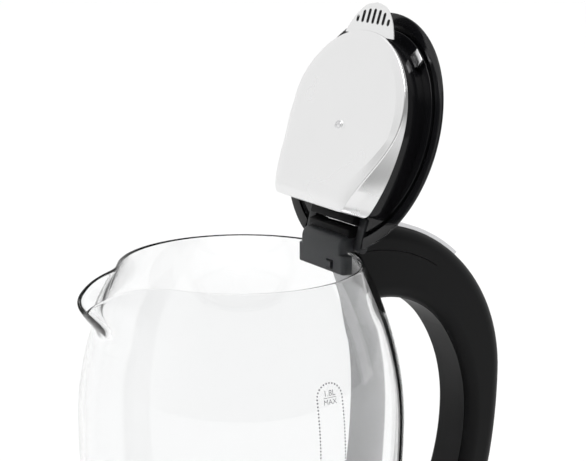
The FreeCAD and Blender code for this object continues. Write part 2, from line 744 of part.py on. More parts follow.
pin_length = dim("block_width") + 2 * (dim("ear_gap") + dim("ear_width")) - 2
keep_shape("hinge_pin", Part.makeCylinder(dim("pin_radius"), pin_length,
                                          pivot - Vector(0, pin_length / 2, 0), Y_AXIS))
keep_shape("lid_catch", block((44.3, -10.5, 223.0), (49.0, -6.5, 226.0)))


def hinge_screw(side, head_radius=2.6, shank_radius=1.4):
    item = screw(head_radius, 1.6, shank_radius, 10)
    item.rotate(ORIGIN, Vector(1, 0, 0), 180)
    item.translate(Vector(HINGE_SCREW_X, side * HINGE_SCREW_Y, TONGUE_TOP + 1.6))
    return item


keep_shape("hinge_screws", Part.makeCompound([hinge_screw(-1), hinge_screw(1)]))

foot_screw = screw(3.4, 1.8, 1.9, 13)
foot_screw.rotate(ORIGIN, Y_AXIS, 90)
foot_screw.translate(Vector(FOOT_SCREW_HEAD, 0, FOOT_SCREW_Z))
keep_shape("handle_foot_screw", foot_screw)

# The handle shell is finished once everything let into it is known.
for hollow in (trim_groove, switch_pin, along_x(1.95, 60.0, 84.0, FOOT_SCREW_Z),
               hinge_screw(-1, 2.6, 1.45), hinge_screw(1, 2.6, 1.45)):
    handle = handle.cut(hollow)
keep_shape("handle_shell", handle)

# ---------------------------------------------------------------- lid, drawn closed on the jug's axis
seat = dim("lid_seat")
LID_ZERO = seat + 4.0
ears_in = dim("block_width") / 2 + dim("ear_gap")
ears_out = ears_in + dim("ear_width")


def depth(amount):
    """Height of a point that lies this far below the lid's datum."""
    return LID_ZERO - amount


# Depths below the lid's datum, and the lines where the lid stops short of the hinge.
COVER_BASE = 14.8
FLOOR_TOP, FLOOR_LOW = 2.2, 3.5
FLOOR_RADIUS = 52.0
EAR_TOP = 235.6
DECK_FROM, DECK_HALF, DECK_LOW = 34.0, 30.0, 5.0
SKIRT_LOW, SKIRT_WALL = 9.0, 1.4
HINGE_EDGE = 51.0
RECESS_EDGE = 43.0
RING_EDGE = 55.0
EAR_ROOT = 40.0
ear_margin = ears_out + 0.6
ring_cut = block((RING_EDGE, -80, 200), (90, 80, 260))
hinge_cut = ring_cut.fuse(block((HINGE_EDGE, -ear_margin, 200), (90, ear_margin, 260)))
recess_cut = block((RECESS_EDGE, -ears_in, 200), (90, ears_in, 260))


def dome_line(radius, edge_height, crown):
    """An arc from the lid's edge up to its crown, level at the middle."""
    rise = crown - edge_height
    bend = (radius * radius + rise * rise) / (2 * rise)
    middle = radius / 2
    return Part.Arc(Vector(radius, 0, edge_height),
                    Vector(middle, 0, crown - bend + math.sqrt(bend * bend - middle * middle)),
                    Vector(0, 0, crown))


def make_top_cover():
    """The domed top with its flat ring, open round the hinge and the ears."""
    outside, inside = dim("lid_radius"), dim("lid_radius") - dim("lid_ring")
    crown = dim("lid_crown")
    top = dome_line(outside - 0.5, seat + 1.3, crown)
    under = dome_line(inside, seat + 1.2, crown - dim("lid_skin"))
    corner = [Vector(inside, 0, seat), Vector(outside, 0, seat), Vector(outside, 0, seat + 0.8)]
    lines = [Part.LineSegment(corner[0], corner[1]), Part.LineSegment(corner[1], corner[2]),
             Part.LineSegment(corner[2], top.StartPoint), top,
             Part.LineSegment(top.EndPoint, under.EndPoint), under,
             Part.LineSegment(under.StartPoint, corner[0])]
    face = Part.Face(Part.Wire(Part.sortEdges([e.toShape() for e in lines])[0]))
    shell = face.revolve(ORIGIN, Z_AXIS, 360).cut(hinge_cut).cut(recess_cut)
    for side in (-1, 1):
        near, far = sorted((side * (ears_in - 1), side * (ears_out + 0.3)))
        shell = shell.cut(block((EAR_ROOT - 0.3, near, 228), (60, far, EAR_TOP + 0.3)))
    return shell


def d_outline(inset, height_at):
    """The lid's D-shaped plan: a round front and fuller sides that end in a flat."""
    radius, flat = dim("plug_wall_radius") - inset, dim("plug_flat") - inset
    side, corner = 76.0 - inset, 7.0
    bow = side - radius
    # the corner's circle touches the side arc from inside and the flat
    corner_x = flat - corner
    corner_y = math.sqrt((side - corner) ** 2 - corner_x ** 2) - bow
    reach = side / (side - corner)
    touch = Vector(corner_x * reach, (corner_y + bow) * reach - bow, 0)
    lean = math.atan2(touch.y - corner_y, touch.x - corner_x)
    half = Vector(corner_x + corner * math.cos(lean / 2), corner_y + corner * math.sin(lean / 2), 0)
    side_mid_angle = 0.5 * math.asin(corner_x * reach / side)
    side_mid = Vector(side * math.sin(side_mid_angle), side * math.cos(side_mid_angle) - bow, 0)

    def lift(point, mirror=1):
        return Vector(point.x, mirror * point.y, height_at(point.x))

    flat_end = Vector(flat, corner_y, 0)
    top_side, far = Vector(0, radius, 0), Vector(-radius, 0, 0)
    diagonal = Vector(-radius * math.sin(math.pi / 4), radius * math.cos(math.pi / 4), 0)
    edges = [Part.Arc(lift(far), lift(diagonal), lift(top_side)),
             Part.Arc(lift(top_side), lift(side_mid), lift(touch)),
             Part.Arc(lift(touch), lift(half), lift(flat_end)),
             Part.LineSegment(lift(flat_end), lift(flat_end, -1)),
             Part.Arc(lift(flat_end, -1), lift(half, -1), lift(touch, -1)),
             Part.Arc(lift(touch, -1), lift(side_mid, -1), lift(top_side, -1)),
             Part.Arc(lift(top_side, -1), lift(diagonal, -1), lift(far))]
    return Part.Wire([e.toShape() for e in edges])


def level(height):
    return lambda x: height


def d_prism(inset, low, high):
    face = Part.Face(d_outline(inset, level(low)))
    return face.extrude(Vector(0, 0, high - low))


def make_lid_body():
    """The plug with its groove floor and the two hinge ears."""
    plug = d_prism(0.9, depth(COVER_BASE - 0.1), depth(FLOOR_TOP))
    plug = plug.cut(d_prism(2.9, depth(COVER_BASE + 1), depth(FLOOR_LOW)))
    floor = Part.makeCylinder(FLOOR_RADIUS, FLOOR_LOW - FLOOR_TOP, Vector(0, 0, depth(FLOOR_LOW)))
    deck = block((DECK_FROM, -DECK_HALF, depth(DECK_LOW)), (HINGE_EDGE, DECK_HALF, depth(FLOOR_TOP)))
    deck = deck.common(Part.makeCylinder(FLOOR_RADIUS, 20, Vector(0, 0, depth(10))))
    skirt = block((RECESS_EDGE - SKIRT_WALL, -ears_in, depth(SKIRT_LOW)),
                  (RECESS_EDGE, ears_in, depth(FLOOR_TOP)))
    shape = plug.fuse(floor).fuse(deck).fuse(skirt).cut(hinge_cut).cut(recess_cut)
    for side in (-1, 1):
        near = min(side * ears_in, side * ears_out)
        ear = block((EAR_ROOT, near, rim + 0.6), (pivot.x, near + dim("ear_width"), EAR_TOP))
        round_end = Part.makeCylinder(EAR_TOP - pivot.z, dim("ear_width"),
                                      Vector(pivot.x, near, pivot.z), Y_AXIS)
        shape = shape.fuse(ear).fuse(round_end)
    bore = Part.makeCylinder(dim("pin_radius") + dim("pin_play"), 80, pivot - Vector(0, 40, 0), Y_AXIS)
    return shape.cut(bore).removeSplitter()


def cover_slope(inset):
    """Height of the steel cover's face: deeper towards the hinge."""
    return lambda x: depth(18.4 - inset + 0.07 * x)


def make_underside():
    """The pressed steel cover under the plug, 0.8 mm thick."""
    outer = Part.makeLoft([d_outline(0, level(depth(COVER_BASE))), d_outline(4.5, cover_slope(0))], True, True)
    inner = Part.makeLoft([d_outline(0.8, level(depth(COVER_BASE - 0.1))), d_outline(5.2, cover_slope(0.8))],
                          True, True)
    hole = Part.makeCylinder(1.7, 20, Vector(0, 0, depth(30)))
    return outer.cut(inner).cut(hole)


SLOT_LENGTHS = (3.5, 6.4, 7.4, 7.7, 7.4, 6.4, 3.5)
SLOT_ROOT = -51.7


def make_filter():
    """A slotted tongue that reaches out of the plug into the spout."""
    half = [(-46, 20.3), (-49.5, 18.6), (-54.2, 15.7), (-58.5, 11.4), (-61.2, 6.9)]
    outline = [Vector(x, y, 0) for x, y in half] + [Vector(-62.5, 0, 0)]
    outline += [Vector(x, -y, 0) for x, y in reversed(half)]
    curve = Part.BSplineCurve()
    curve.interpolate(Points=outline)
    back = Part.LineSegment(outline[-1], outline[0])
    tongue_face = Part.Face(Part.Wire([curve.toShape(), back.toShape()]))
    tab = tongue_face.extrude(Vector(0, 0, 1.0))
    for i, length in zip(range(-3, 4), SLOT_LENGTHS):
        middle, half_slot = i * dim("slot_pitch"), dim("slot_width") / 2
        slot = block((SLOT_ROOT - length, middle - half_slot, -2), (SLOT_ROOT, middle + half_slot, 3))
        corners = [e for e in slot.Edges if abs(e.tangentAt(e.FirstParameter).z) > 0.9]
        tab = tab.cut(slot.makeFillet(dim("slot_width") / 2 - 0.02, corners))
    tab.translate(Vector(0, 0, dim("filter_level") - 0.5))
    return tab.cut(d_prism(-0.15, 200, 240))


def make_clip(side):
    clip = block((-3.7, -4, -1), (3.0, 4, 1))
    clip.translate(Vector(50.9, 0, depth(5.5)))
    clip.rotate(ORIGIN, Z_AXIS, 180 - side * 38)
    return clip


SPRING_MIDDLE, SPRING_END, SPRING_DEPTH, SPRING_RADIUS = 43.6, 44.2, 3.2, 0.6
spring_height = depth(SPRING_DEPTH)
spring_arc = Part.Arc(Vector(SPRING_END, -(ears_in + 2), spring_height), Vector(SPRING_MIDDLE, 0, spring_height),
                      Vector(SPRING_END, ears_in + 2, spring_height)).toShape()
spring_circle = Part.makeCircle(SPRING_RADIUS, spring_arc.valueAt(spring_arc.FirstParameter),
                                spring_arc.tangentAt(spring_arc.FirstParameter))
spring = Part.Wire(spring_arc).makePipeShell([Part.Wire(spring_circle)], True, False)
lid_body = make_lid_body()
lid_clips = Part.makeCompound([make_clip(-1), make_clip(1)])

lid_screw = screw(3.0, 1.4, 1.6, 12)
lid_screw.translate(Vector(0, 0, depth(20.05)))

lid_pieces = {
    "lid_top_cover": make_top_cover(),
    "lid_body": lid_body.cut(spring).cut(lid_clips),
    "lid_underside_cover": make_underside(),
    "spout_filter": make_filter(),
    "lid_screw": lid_screw,
    "lid_clips": lid_clips,
    "lid_spring": spring,
}
lid_turn = Placement(ORIGIN, Rotation(Y_AXIS, dim("lid_open_angle")), pivot)
for name, shape in lid_pieces.items():
    keep_shape(name, shape, lid_turn)

# ---------------------------------------------------------------- check and export
doc.recompute()
for item in doc.Objects:
    if "Invalid" in item.State or "Error" in item.State:
        raise RuntimeError(f"{item.Label} failed: {item.State}")
for item in sub_parts:
    if item.Shape.isNull() or not item.Shape.isValid() or not item.Shape.Solids:
        raise RuntimeError(f"{item.Label} has no valid solid")
for item in sub_parts:
    item.Shape.exportStep(f"parts/{item.Label}.step")
    print(item.Label, len(item.Shape.Solids), round(item.Shape.Volume))
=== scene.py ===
import json
import math

import bmesh
import bpy
from mathutils import Matrix, Vector


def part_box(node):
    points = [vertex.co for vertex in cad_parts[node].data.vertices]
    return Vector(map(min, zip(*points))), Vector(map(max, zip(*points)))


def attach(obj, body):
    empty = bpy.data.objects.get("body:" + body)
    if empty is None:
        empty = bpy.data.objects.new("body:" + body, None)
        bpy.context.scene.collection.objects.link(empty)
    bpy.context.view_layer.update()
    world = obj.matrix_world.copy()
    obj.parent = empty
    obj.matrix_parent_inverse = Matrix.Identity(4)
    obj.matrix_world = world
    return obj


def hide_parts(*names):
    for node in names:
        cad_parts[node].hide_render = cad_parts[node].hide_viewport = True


# Glass electric kettle with its lid open. Sizes below are in millimetres, and every
# piece is built in the shared frame: +Z up, +X to the handle, -X to the spout.
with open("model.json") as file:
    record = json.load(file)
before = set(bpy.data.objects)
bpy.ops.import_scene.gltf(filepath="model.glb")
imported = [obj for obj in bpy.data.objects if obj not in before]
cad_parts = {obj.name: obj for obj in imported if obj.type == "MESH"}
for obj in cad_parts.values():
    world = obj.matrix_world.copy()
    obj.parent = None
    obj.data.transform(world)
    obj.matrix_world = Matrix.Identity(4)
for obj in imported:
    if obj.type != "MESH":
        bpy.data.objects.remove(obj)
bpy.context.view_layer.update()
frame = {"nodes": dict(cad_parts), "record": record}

MM = 0.001
record = frame["record"]
joints = {joint["name"]: joint for joint in record["behaviour"]["joints"]}


# ---------------------------------------------------------------- node boxes in millimetres
def low_high(node):
    """The two corners of a node's box."""
    low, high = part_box(node)
    return low / MM, high / MM


GLASS_FOOT = low_high("glass_jug")[0].z
COLLAR_LOW, COLLAR_HIGH = low_high("base_collar")
BLOCK_LOW, BLOCK_HIGH = low_high("hinge_block")
SHELL_LOW, SHELL_HIGH = low_high("power_base_shell")
PIVOT = Vector(joints["lid_hinge"]["pos_m"]) / MM
LID_ANGLE = -math.radians(joints["lid_hinge"]["range_deg"][0])
LID_TURN = (Matrix.Translation(PIVOT) @ Matrix.Rotation(LID_ANGLE, 4, "Y")
            @ Matrix.Translation(-PIVOT))


# ---------------------------------------------------------------- mesh helpers
# Folds of more than CREASE degrees stay sharp. A rounded corner takes up MOST_SETBACK of a side at most.
CREASE = 32.0
MERGE_DISTANCE, FLAT_DISTANCE = 0.002, 0.001
ON_AXIS = 1e-6
MOST_SETBACK = 0.49


def build(name, points, faces, crease=CREASE):
    """An object from points in millimetres, smooth except over sharp folds."""
    mesh = bpy.data.meshes.new(name)
    mesh.from_pydata([Vector(p) * MM for p in points], [], faces)
    tidy_mesh(mesh, crease)
    item = bpy.data.objects.new(name, mesh)
    bpy.context.scene.collection.objects.link(item)
    return item


def tidy_mesh(mesh, crease=CREASE):
    """Merges points that meet, turns the faces outwards and sets smooth shading up to the crease angle."""
    work = bmesh.new()
    work.from_mesh(mesh)
    bmesh.ops.remove_doubles(work, verts=work.verts, dist=MERGE_DISTANCE * MM)
    bmesh.ops.dissolve_degenerate(work, edges=work.edges, dist=FLAT_DISTANCE * MM)
    bmesh.ops.recalc_face_normals(work, faces=work.faces)
    work.to_mesh(mesh)
    work.free()
    mesh.shade_smooth()
    mesh.set_sharp_from_angle(angle=math.radians(crease))


def rounded(corners, steps=5):
    """A closed outline with rounded corners; each corner is (across, up, radius)."""
    points = []
    count = len(corners)
    for i, (across, up, radius) in enumerate(corners):
        here = Vector((across, up))
        back = Vector(corners[i - 1][:2]) - here
        ahead = Vector(corners[(i + 1) % count][:2]) - here
        if radius == 0:
            points.append(tuple(here))
            continue
        half = back.angle(ahead) / 2
        setback = min(radius / math.tan(half), MOST_SETBACK * min(back.length, ahead.length))
        true_radius = setback * math.tan(half)
        back.normalize()
        ahead.normalize()
        centre = here + (back + ahead).normalized() * (true_radius / math.sin(half))
        first = here + back * setback - centre
        last = here + ahead * setback - centre
        sweep = math.pi - 2 * half
        for step in range(steps + 1):
            share = step / steps
            from_first, from_last = math.sin((1 - share) * sweep), math.sin(share * sweep)
            spoke = (first * from_first + last * from_last) / math.sin(sweep)
            points.append(tuple(centre + spoke))
    return points


def lathe(name, outline, steps=144, crease=CREASE):
    """A piece turned about Z from a closed radius-height outline."""
    points, faces = [], []
    count = len(outline)
    for step in range(steps):
        turn = 2 * math.pi * step / steps
        for radius, height in outline:
            points.append((radius * math.cos(turn), radius * math.sin(turn), height))
    for step in range(steps):
        near, far = step * count, ((step + 1) % steps) * count
        for i in range(count):
            j = (i + 1) % count
            if outline[i][0] < ON_AXIS and outline[j][0] < ON_AXIS:
                continue
            faces.append((near + i, far + i, far + j, near + j))
    return build(name, points, faces, crease)


def loft(name, rings, capped=True, crease=CREASE):
    """A skin over closed rings of points that all have the same count."""
    points = [p for ring in rings for p in ring]
    count = len(rings[0])
    faces = []
    for level in range(len(rings) - 1):
        near, far = level * count, (level + 1) * count
        for i in range(count):
            j = (i + 1) % count
            faces.append((near + i, near + j, far + j, far + i))
    if capped:
        faces.append(tuple(reversed(range(count))))
        faces.append(tuple(range((len(rings) - 1) * count, len(rings) * count)))
    return build(name, points, faces, crease)


def prism_y(name, outline, low_y, high_y):
    """A plate standing in the XZ plane, from a closed outline of (x, z)."""
    rings = [[(x, y, z) for x, z in outline] for y in (low_y, high_y)]
    return loft(name, rings)


def box_between(name, low, high):
    """A plain box from its low corner to its high corner."""
    outline = [(low[0], low[2]), (high[0], low[2]), (high[0], high[2]), (low[0], high[2])]
    return prism_y(name, outline, low[1], high[1])


def soften(piece, width, segments=3, angle=30.0):
    """Rounds a piece's edges that fold by more than the angle."""
    bevel = piece.modifiers.new("soften", "BEVEL")
    bevel.width = width * MM
    bevel.segments = segments
    bevel.limit_method = "ANGLE"
    bevel.angle_limit = math.radians(angle)
    bevel.harden_normals = False
    settle(piece)
    return piece


def settle(piece, crease=CREASE):
    """Makes a piece's modifiers part of its mesh."""
    graph = bpy.context.evaluated_depsgraph_get()
    mesh = bpy.data.meshes.new_from_object(piece.evaluated_get(graph))
    old = piece.data
    piece.modifiers.clear()
    piece.data = mesh
    bpy.data.meshes.remove(old)
    tidy_mesh(mesh, crease)


def combine(piece, tool, operation="DIFFERENCE"):
    """Cuts the tool out of the piece, or joins the two, and removes the tool."""
    step = piece.modifiers.new("combine", "BOOLEAN")
    step.operation = operation
    step.solver = "EXACT"
    step.object = tool
    settle(piece)
    bpy.data.objects.remove(tool)
    return piece


def place(piece, matrix):
    """Moves a piece's points by a matrix in millimetres."""
    scaled = matrix.copy()
    scaled.translation = matrix.translation * MM
    piece.data.transform(scaled)
    return piece


def fit(piece, body, slot, look, *replaced):
    """Gives a piece its finish and its body, and hides the nodes that it stands for."""
    piece.data.materials.clear()
    piece.data.materials.append(look)
    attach(piece, body)
    if replaced:
        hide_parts(*replaced)
    return piece


def tube(name, path, radius, sides=12):
    """A round rod that follows points in millimetres."""
    rings = []
    for i, point in enumerate(path):
        here = Vector(point)
        along = (Vector(path[min(i + 1, len(path) - 1)]) - Vector(path[max(i - 1, 0)])).normalized()
        across = along.cross(Vector((0, 0, 1)))
        if across.length < 0.1:
            across = along.cross(Vector((0, 1, 0)))
        across.normalize()
        up = across.cross(along)
        rings.append([here + (across * math.cos(a) + up * math.sin(a)) * radius
                      for a in (2 * math.pi * k / sides for k in range(sides))])
    return loft(name, rings)


# ---------------------------------------------------------------- materials
NOISE_LOW, NOISE_HIGH = 0.3, 0.7
SLOW_SCALE, SLOW_DETAIL, FINE_DETAIL = 22.0, 3.0, 6.0
GLASS_TINT, GLASS_SPREAD = (0.952, 0.955, 0.956), 0.005
GLASS_BEND, GLASS_ROUGHEST = 1.40, 0.012
GLASS_SCALE, GLASS_DETAIL = 30.0, 2.0


def shader(name):
    """A material with its node tree and its principled shader."""
    made = bpy.data.materials.new(name)
    made.use_nodes = True
    tree = made.node_tree
    return made, tree, tree.nodes["Principled BSDF"]


def noise_on(tree, stretch, scale, detail):
    """Noise in the object's own place, stretched along its axes."""
    where = tree.nodes.new("ShaderNodeTexCoord")
    mapping = tree.nodes.new("ShaderNodeMapping")
    mapping.inputs["Scale"].default_value = stretch
    noise = tree.nodes.new("ShaderNodeTexNoise")
    noise.inputs["Scale"].default_value = scale
    noise.inputs["Detail"].default_value = detail
    tree.links.new(where.outputs["Object"], mapping.inputs["Vector"])
    tree.links.new(mapping.outputs["Vector"], noise.inputs["Vector"])
    return noise.outputs["Fac"]


def ranged(tree, source, low, high):
    """The noise spread out from low to high."""
    span = tree.nodes.new("ShaderNodeMapRange")
    span.inputs["From Min"].default_value = NOISE_LOW
    span.inputs["From Max"].default_value = NOISE_HIGH
    span.inputs["To Min"].default_value = low
    span.inputs["To Max"].default_value = high
    tree.links.new(source, span.inputs["Value"])
    return span.outputs["Result"]


def tinted(tree, source, colour, spread):
    """The colour, a little darker or lighter where the noise says so."""
    mix = tree.nodes.new("ShaderNodeMix")
    mix.data_type = "RGBA"
    mix.inputs[6].default_value = (*[c * (1 - spread) for c in colour], 1)
    mix.inputs[7].default_value = (*[min(c * (1 + spread), 1) for c in colour], 1)
    tree.links.new(source, mix.inputs[0])
    return mix.outputs[2]


def bumped(tree, source, height):
    """A surface raised by the noise, with the height in millimetres."""
    bump = tree.nodes.new("ShaderNodeBump")
    bump.inputs["Strength"].default_value = 1.0
    bump.inputs["Distance"].default_value = height * MM
    tree.links.new(source, bump.inputs["Height"])
    return bump.outputs["Normal"]


def finish(name, colour, roughness, metallic=0.0, grain=900.0, stretch=(1, 1, 1), relief=0.006,
           spread=0.06, rough_spread=0.05, **fixed):
    """A procedural finish: fine grain in the surface, slow changes of tone and gloss."""
    made, tree, surface = shader(name)
    fine = noise_on(tree, stretch, grain, FINE_DETAIL)
    slow = noise_on(tree, (1, 1, 1), SLOW_SCALE, SLOW_DETAIL)
    surface.inputs["Metallic"].default_value = metallic
    tree.links.new(tinted(tree, slow, colour, spread), surface.inputs["Base Color"])
    tree.links.new(ranged(tree, slow, roughness - rough_spread, roughness + rough_spread),
                   surface.inputs["Roughness"])
    tree.links.new(bumped(tree, fine, relief), surface.inputs["Normal"])
    for socket, value in fixed.items():
        surface.inputs[socket.replace("_", " ")].default_value = value
    return made


def clear_glass(name):
    """Clear glass with a faint tint and a very slight change of gloss."""
    made, tree, surface = shader(name)
    surface.inputs["Transmission Weight"].default_value = 1.0
    surface.inputs["IOR"].default_value = GLASS_BEND
    slow = noise_on(tree, (1, 1, 1), GLASS_SCALE, GLASS_DETAIL)
    tree.links.new(tinted(tree, slow, GLASS_TINT, GLASS_SPREAD), surface.inputs["Base Color"])
    tree.links.new(ranged(tree, slow, 0.0, GLASS_ROUGHEST), surface.inputs["Roughness"])
    return made


GLASS = clear_glass("jug_glass")
BLACK = finish("black_plastic", (0.020, 0.020, 0.021), 0.42, grain=1100, relief=0.008)
HANDLE = finish("handle_plastic", (0.0045, 0.0047, 0.005), 0.46, grain=1300, relief=0.006,
                Specular_IOR_Level=0.13)
HINGE = finish("hinge_plastic", (0.034, 0.036, 0.039), 0.42, grain=1000, relief=0.008,
               Specular_IOR_Level=0.35)
EAR = finish("ear_plastic", (0.020, 0.021, 0.023), 0.45, grain=1000, relief=0.006, Specular_IOR_Level=0.3)
BARREL = finish("barrel_plastic", (0.004, 0.004, 0.0045), 0.5, grain=900, relief=0.006,
                Specular_IOR_Level=0.1)
GLOSS = finish("lid_plastic", (0.006, 0.006, 0.007), 0.16, grain=500, relief=0.002, rough_spread=0.03,
               Specular_IOR_Level=0.3)
GREY = finish("grey_plastic", (0.30, 0.30, 0.31), 0.5)
RUBBER = finish("foot_rubber", (0.022, 0.022, 0.022), 0.75, relief=0.02)
SILICONE = finish("silicone", (0.62, 0.62, 0.60), 0.55, relief=0.01)
BAND = finish("brushed_band", (0.38, 0.38, 0.385), 0.20, metallic=1.0, grain=260, stretch=(14, 14, 0.35),
              relief=0.0012, spread=0.03, rough_spread=0.04)
COLLAR = finish("collar_steel", (0.66, 0.66, 0.67), 0.26, metallic=1.0, grain=260, stretch=(0.4, 0.4, 16),
                relief=0.0015, spread=0.03, rough_spread=0.04)
COVER = finish("cover_steel", (0.84, 0.84, 0.84), 0.26, metallic=1.0, grain=240, stretch=(6, 0.4, 6),
               relief=0.0012, spread=0.02, rough_spread=0.03)
PLATE = finish("plate_steel", (0.70, 0.70, 0.70), 0.30, metallic=1.0, grain=200, relief=0.002)
CHROME = finish("bright_trim", (0.62, 0.62, 0.63), 0.24, metallic=1.0, grain=400, relief=0.0006,
                spread=0.01, rough_spread=0.02)
SCREW = finish("screw_steel", (0.72, 0.72, 0.73), 0.22, metallic=1.0, relief=0.002)
WIRE = finish("spring_wire", (0.80, 0.80, 0.80), 0.20, metallic=1.0, relief=0.001)
ALUMINIUM = finish("aluminium", (0.70, 0.71, 0.72), 0.42, metallic=1.0, relief=0.01)
BRASS = finish("brass", (0.72, 0.52, 0.22), 0.24, metallic=1.0, relief=0.002)
PRINT = finish("level_print", (0.26, 0.26, 0.27), 0.6, relief=0.001)

FINISHES = {
    "jug_glass": GLASS, "black_plastic": BLACK, "handle_plastic": HANDLE, "lid_plastic": GLOSS,
    "hinge_plastic": HINGE, "grey_plastic": GREY, "foot_rubber": RUBBER, "silicone": SILICONE,
    "brushed_band": BAND, "cover_steel": COVER, "plate_steel": PLATE, "bright_trim": CHROME,
    "screw_steel": SCREW, "spring_wire": WIRE, "aluminium": ALUMINIUM, "brass": BRASS,
}
for part in record["subparts"]:
    node = frame["nodes"][part["node"]]
    node.data.materials.clear()
    node.data.materials.append(FINISHES[part["material_slot"]])

# ---------------------------------------------------------------- glass jug
BELLY_RADIUS, BELLY_HEIGHT = 79.0, 152.3
SHOULDER_CURVE, SKIRT_CURVE = 292.0, 680.0
WALL, RIM_WALL = 3.0, 1.4
WALL_THINS_FROM, WALL_THIN_AT = 205.0, 228.0
SPOUT_REACH, SPOUT_START, SPOUT_RISE, SPOUT_SPREAD, SPOUT_POWER = 22.5, 197.0, 27.0, 14.8, 2.37
LIP_DROOP, LIP_SPREAD, LIP_POWER = 12.7, 8.2, 1.8
RIM_HEIGHT = 230.0
GLASS_COLUMNS, GLASS_LEVELS, RIM_STEPS = 288, 90, 8
EVEN_SHARE, CROWDED_SHARE = 0.45, 0.55
NORMAL_STEP = 0.2


def between(low, high, value):
    """0 below low, 1 above high, smooth in between."""
    share = min(max((value - low) / (high - low), 0.0), 1.0)
    return share * share * (3 - 2 * share)


def body_radius(height):
    """Outside radius of the plain glass body."""
    drop = height - BELLY_HEIGHT
    return BELLY_RADIUS - drop * drop / (SHOULDER_CURVE if drop > 0 else SKIRT_CURVE)


def glass_point(angle, height):
    """A point of the glass outside; the angle is in degrees from the spout."""
    rise = between(SPOUT_START, SPOUT_START + SPOUT_RISE, height)
    bulge = math.exp(-abs(angle / SPOUT_SPREAD) ** SPOUT_POWER)
    radius = body_radius(height) + SPOUT_REACH * rise * bulge
    turn = math.radians(angle)
    return Vector((-radius * math.cos(turn), radius * math.sin(turn), height))


def glass_normal(angle, height):
    """The way out of the glass at a point of its outside."""
    round_way = glass_point(angle + NORMAL_STEP, height) - glass_point(angle - NORMAL_STEP, height)
    up_way = glass_point(angle, height + NORMAL_STEP) - glass_point(angle, height - NORMAL_STEP)
    out = up_way.cross(round_way).normalized()
    centre = Vector((0, 0, height))
    return out if out.dot(glass_point(angle, height) - centre) > 0 else -out


def rim_line(angle):
    """Height of the glass edge, which droops at the tip of the lip."""
    return RIM_HEIGHT - LIP_DROOP * math.exp(-abs(angle / LIP_SPREAD) ** LIP_POWER)


def wrapped_angles(count):
    """Angles round the jug, closer together at the spout."""
    angles = []
    for i in range(count):
        share = 2 * i / count - 1
        angles.append(180 * (EVEN_SHARE * share + CROWDED_SHARE * share ** 3))
    return angles


def make_jug_glass():
    """The glass wall, section by section round the jug: up outside, over the rim, down inside."""
    rings = []
    for angle in wrapped_angles(GLASS_COLUMNS):
        top = rim_line(angle) - RIM_WALL / 2
        outside, inside = [], []
        for i in range(GLASS_LEVELS + 1):
            share = i / GLASS_LEVELS
            # levels get closer together towards the rim
            height = GLASS_FOOT + (top - GLASS_FOOT) * (1.5 * share - 0.5 * share * share)
            point = glass_point(angle, height)
            outside.append(point)
            wall = WALL + (RIM_WALL - WALL) * between(WALL_THINS_FROM, WALL_THIN_AT, height)
            inside.append(point - glass_normal(angle, height) * wall)
        for point in inside:
            point.z = max(point.z, GLASS_FOOT)
        out = (outside[-1] - inside[-1]).normalized()
        up = (outside[-1] - outside[-2]).normalized()
        middle = (outside[-1] + inside[-1]) / 2
        rim = []
        for k in range(1, RIM_STEPS):
            turn = math.pi * k / RIM_STEPS
            rim.append(middle + (out * math.cos(turn) + up * math.sin(turn)) * RIM_WALL / 2)
        rings.append(outside + rim + inside[::-1])
    points = [p for ring in rings for p in ring]
    count = len(rings[0])
    faces = []
    for step in range(len(rings)):
        near, far = step * count, ((step + 1) % len(rings)) * count
        for i in range(count):
            j = (i + 1) % count
            faces.append((near + i, near + j, far + j, far + i))
    return build("jug_glass", points, faces, 60.0)


fit(make_jug_glass(), "jug", "jug_glass", GLASS, "glass_jug")

# ---------------------------------------------------------------- level window, printed on the glass
WINDOW_ANGLE = 90.4
WINDOW_HALF, WINDOW_TOP, WINDOW_BOTTOM = 6.7, 189.6, 96.0
DOT_PITCH, DOT_RADIUS, DOT_SIDES = 1.55, 0.45, 10
PRINT_PROUD = 0.06
MARK_SIZE, WORD_SIZE = 3.7, 3.3
RULE_HALF, RULE_THICKNESS, RULE_COLUMNS = 3.4, 0.25, 6


def on_glass(across, height):
    """A point just outside the glass on the side that faces -Y, by distance along it."""
    turn = math.radians(-WINDOW_ANGLE) - across / body_radius(height)
    radius = body_radius(height) + PRINT_PROUD
    return Vector((-radius * math.cos(turn), radius * math.sin(turn), height))


def window_path():
    """Dot places round a tall window with a half-round head and foot."""
    places = []
    straight = WINDOW_TOP - WINDOW_BOTTOM - 2 * WINDOW_HALF
    length = 2 * straight + 2 * math.pi * WINDOW_HALF
    head, foot = WINDOW_TOP - WINDOW_HALF, WINDOW_BOTTOM + WINDOW_HALF
    count = round(length / DOT_PITCH)
    for i in range(count):
        along = length * i / count
        if along < straight:
            places.append((-WINDOW_HALF, foot + along))
            continue
        along -= straight
        if along < math.pi * WINDOW_HALF:
            turn = math.pi - along / WINDOW_HALF
            places.append((WINDOW_HALF * math.cos(turn), head + WINDOW_HALF * math.sin(turn)))
            continue
        along -= math.pi * WINDOW_HALF
        if along < straight:
            places.append((WINDOW_HALF, head - along))
            continue
        turn = -(along - straight) / WINDOW_HALF
        places.append((WINDOW_HALF * math.cos(turn), foot + WINDOW_HALF * math.sin(turn)))
    return places


def make_dots():
    """The dotted outline of the level window."""
    points, faces = [], []
    for across, height in window_path():
        first = len(points)
        for k in range(DOT_SIDES):
            turn = 2 * math.pi * k / DOT_SIDES
            points.append(on_glass(across + DOT_RADIUS * math.cos(turn),
                                   height + DOT_RADIUS * math.sin(turn)))
        faces.append(tuple(range(first, first + DOT_SIDES)))
    return build("level_window_dots", points, faces)


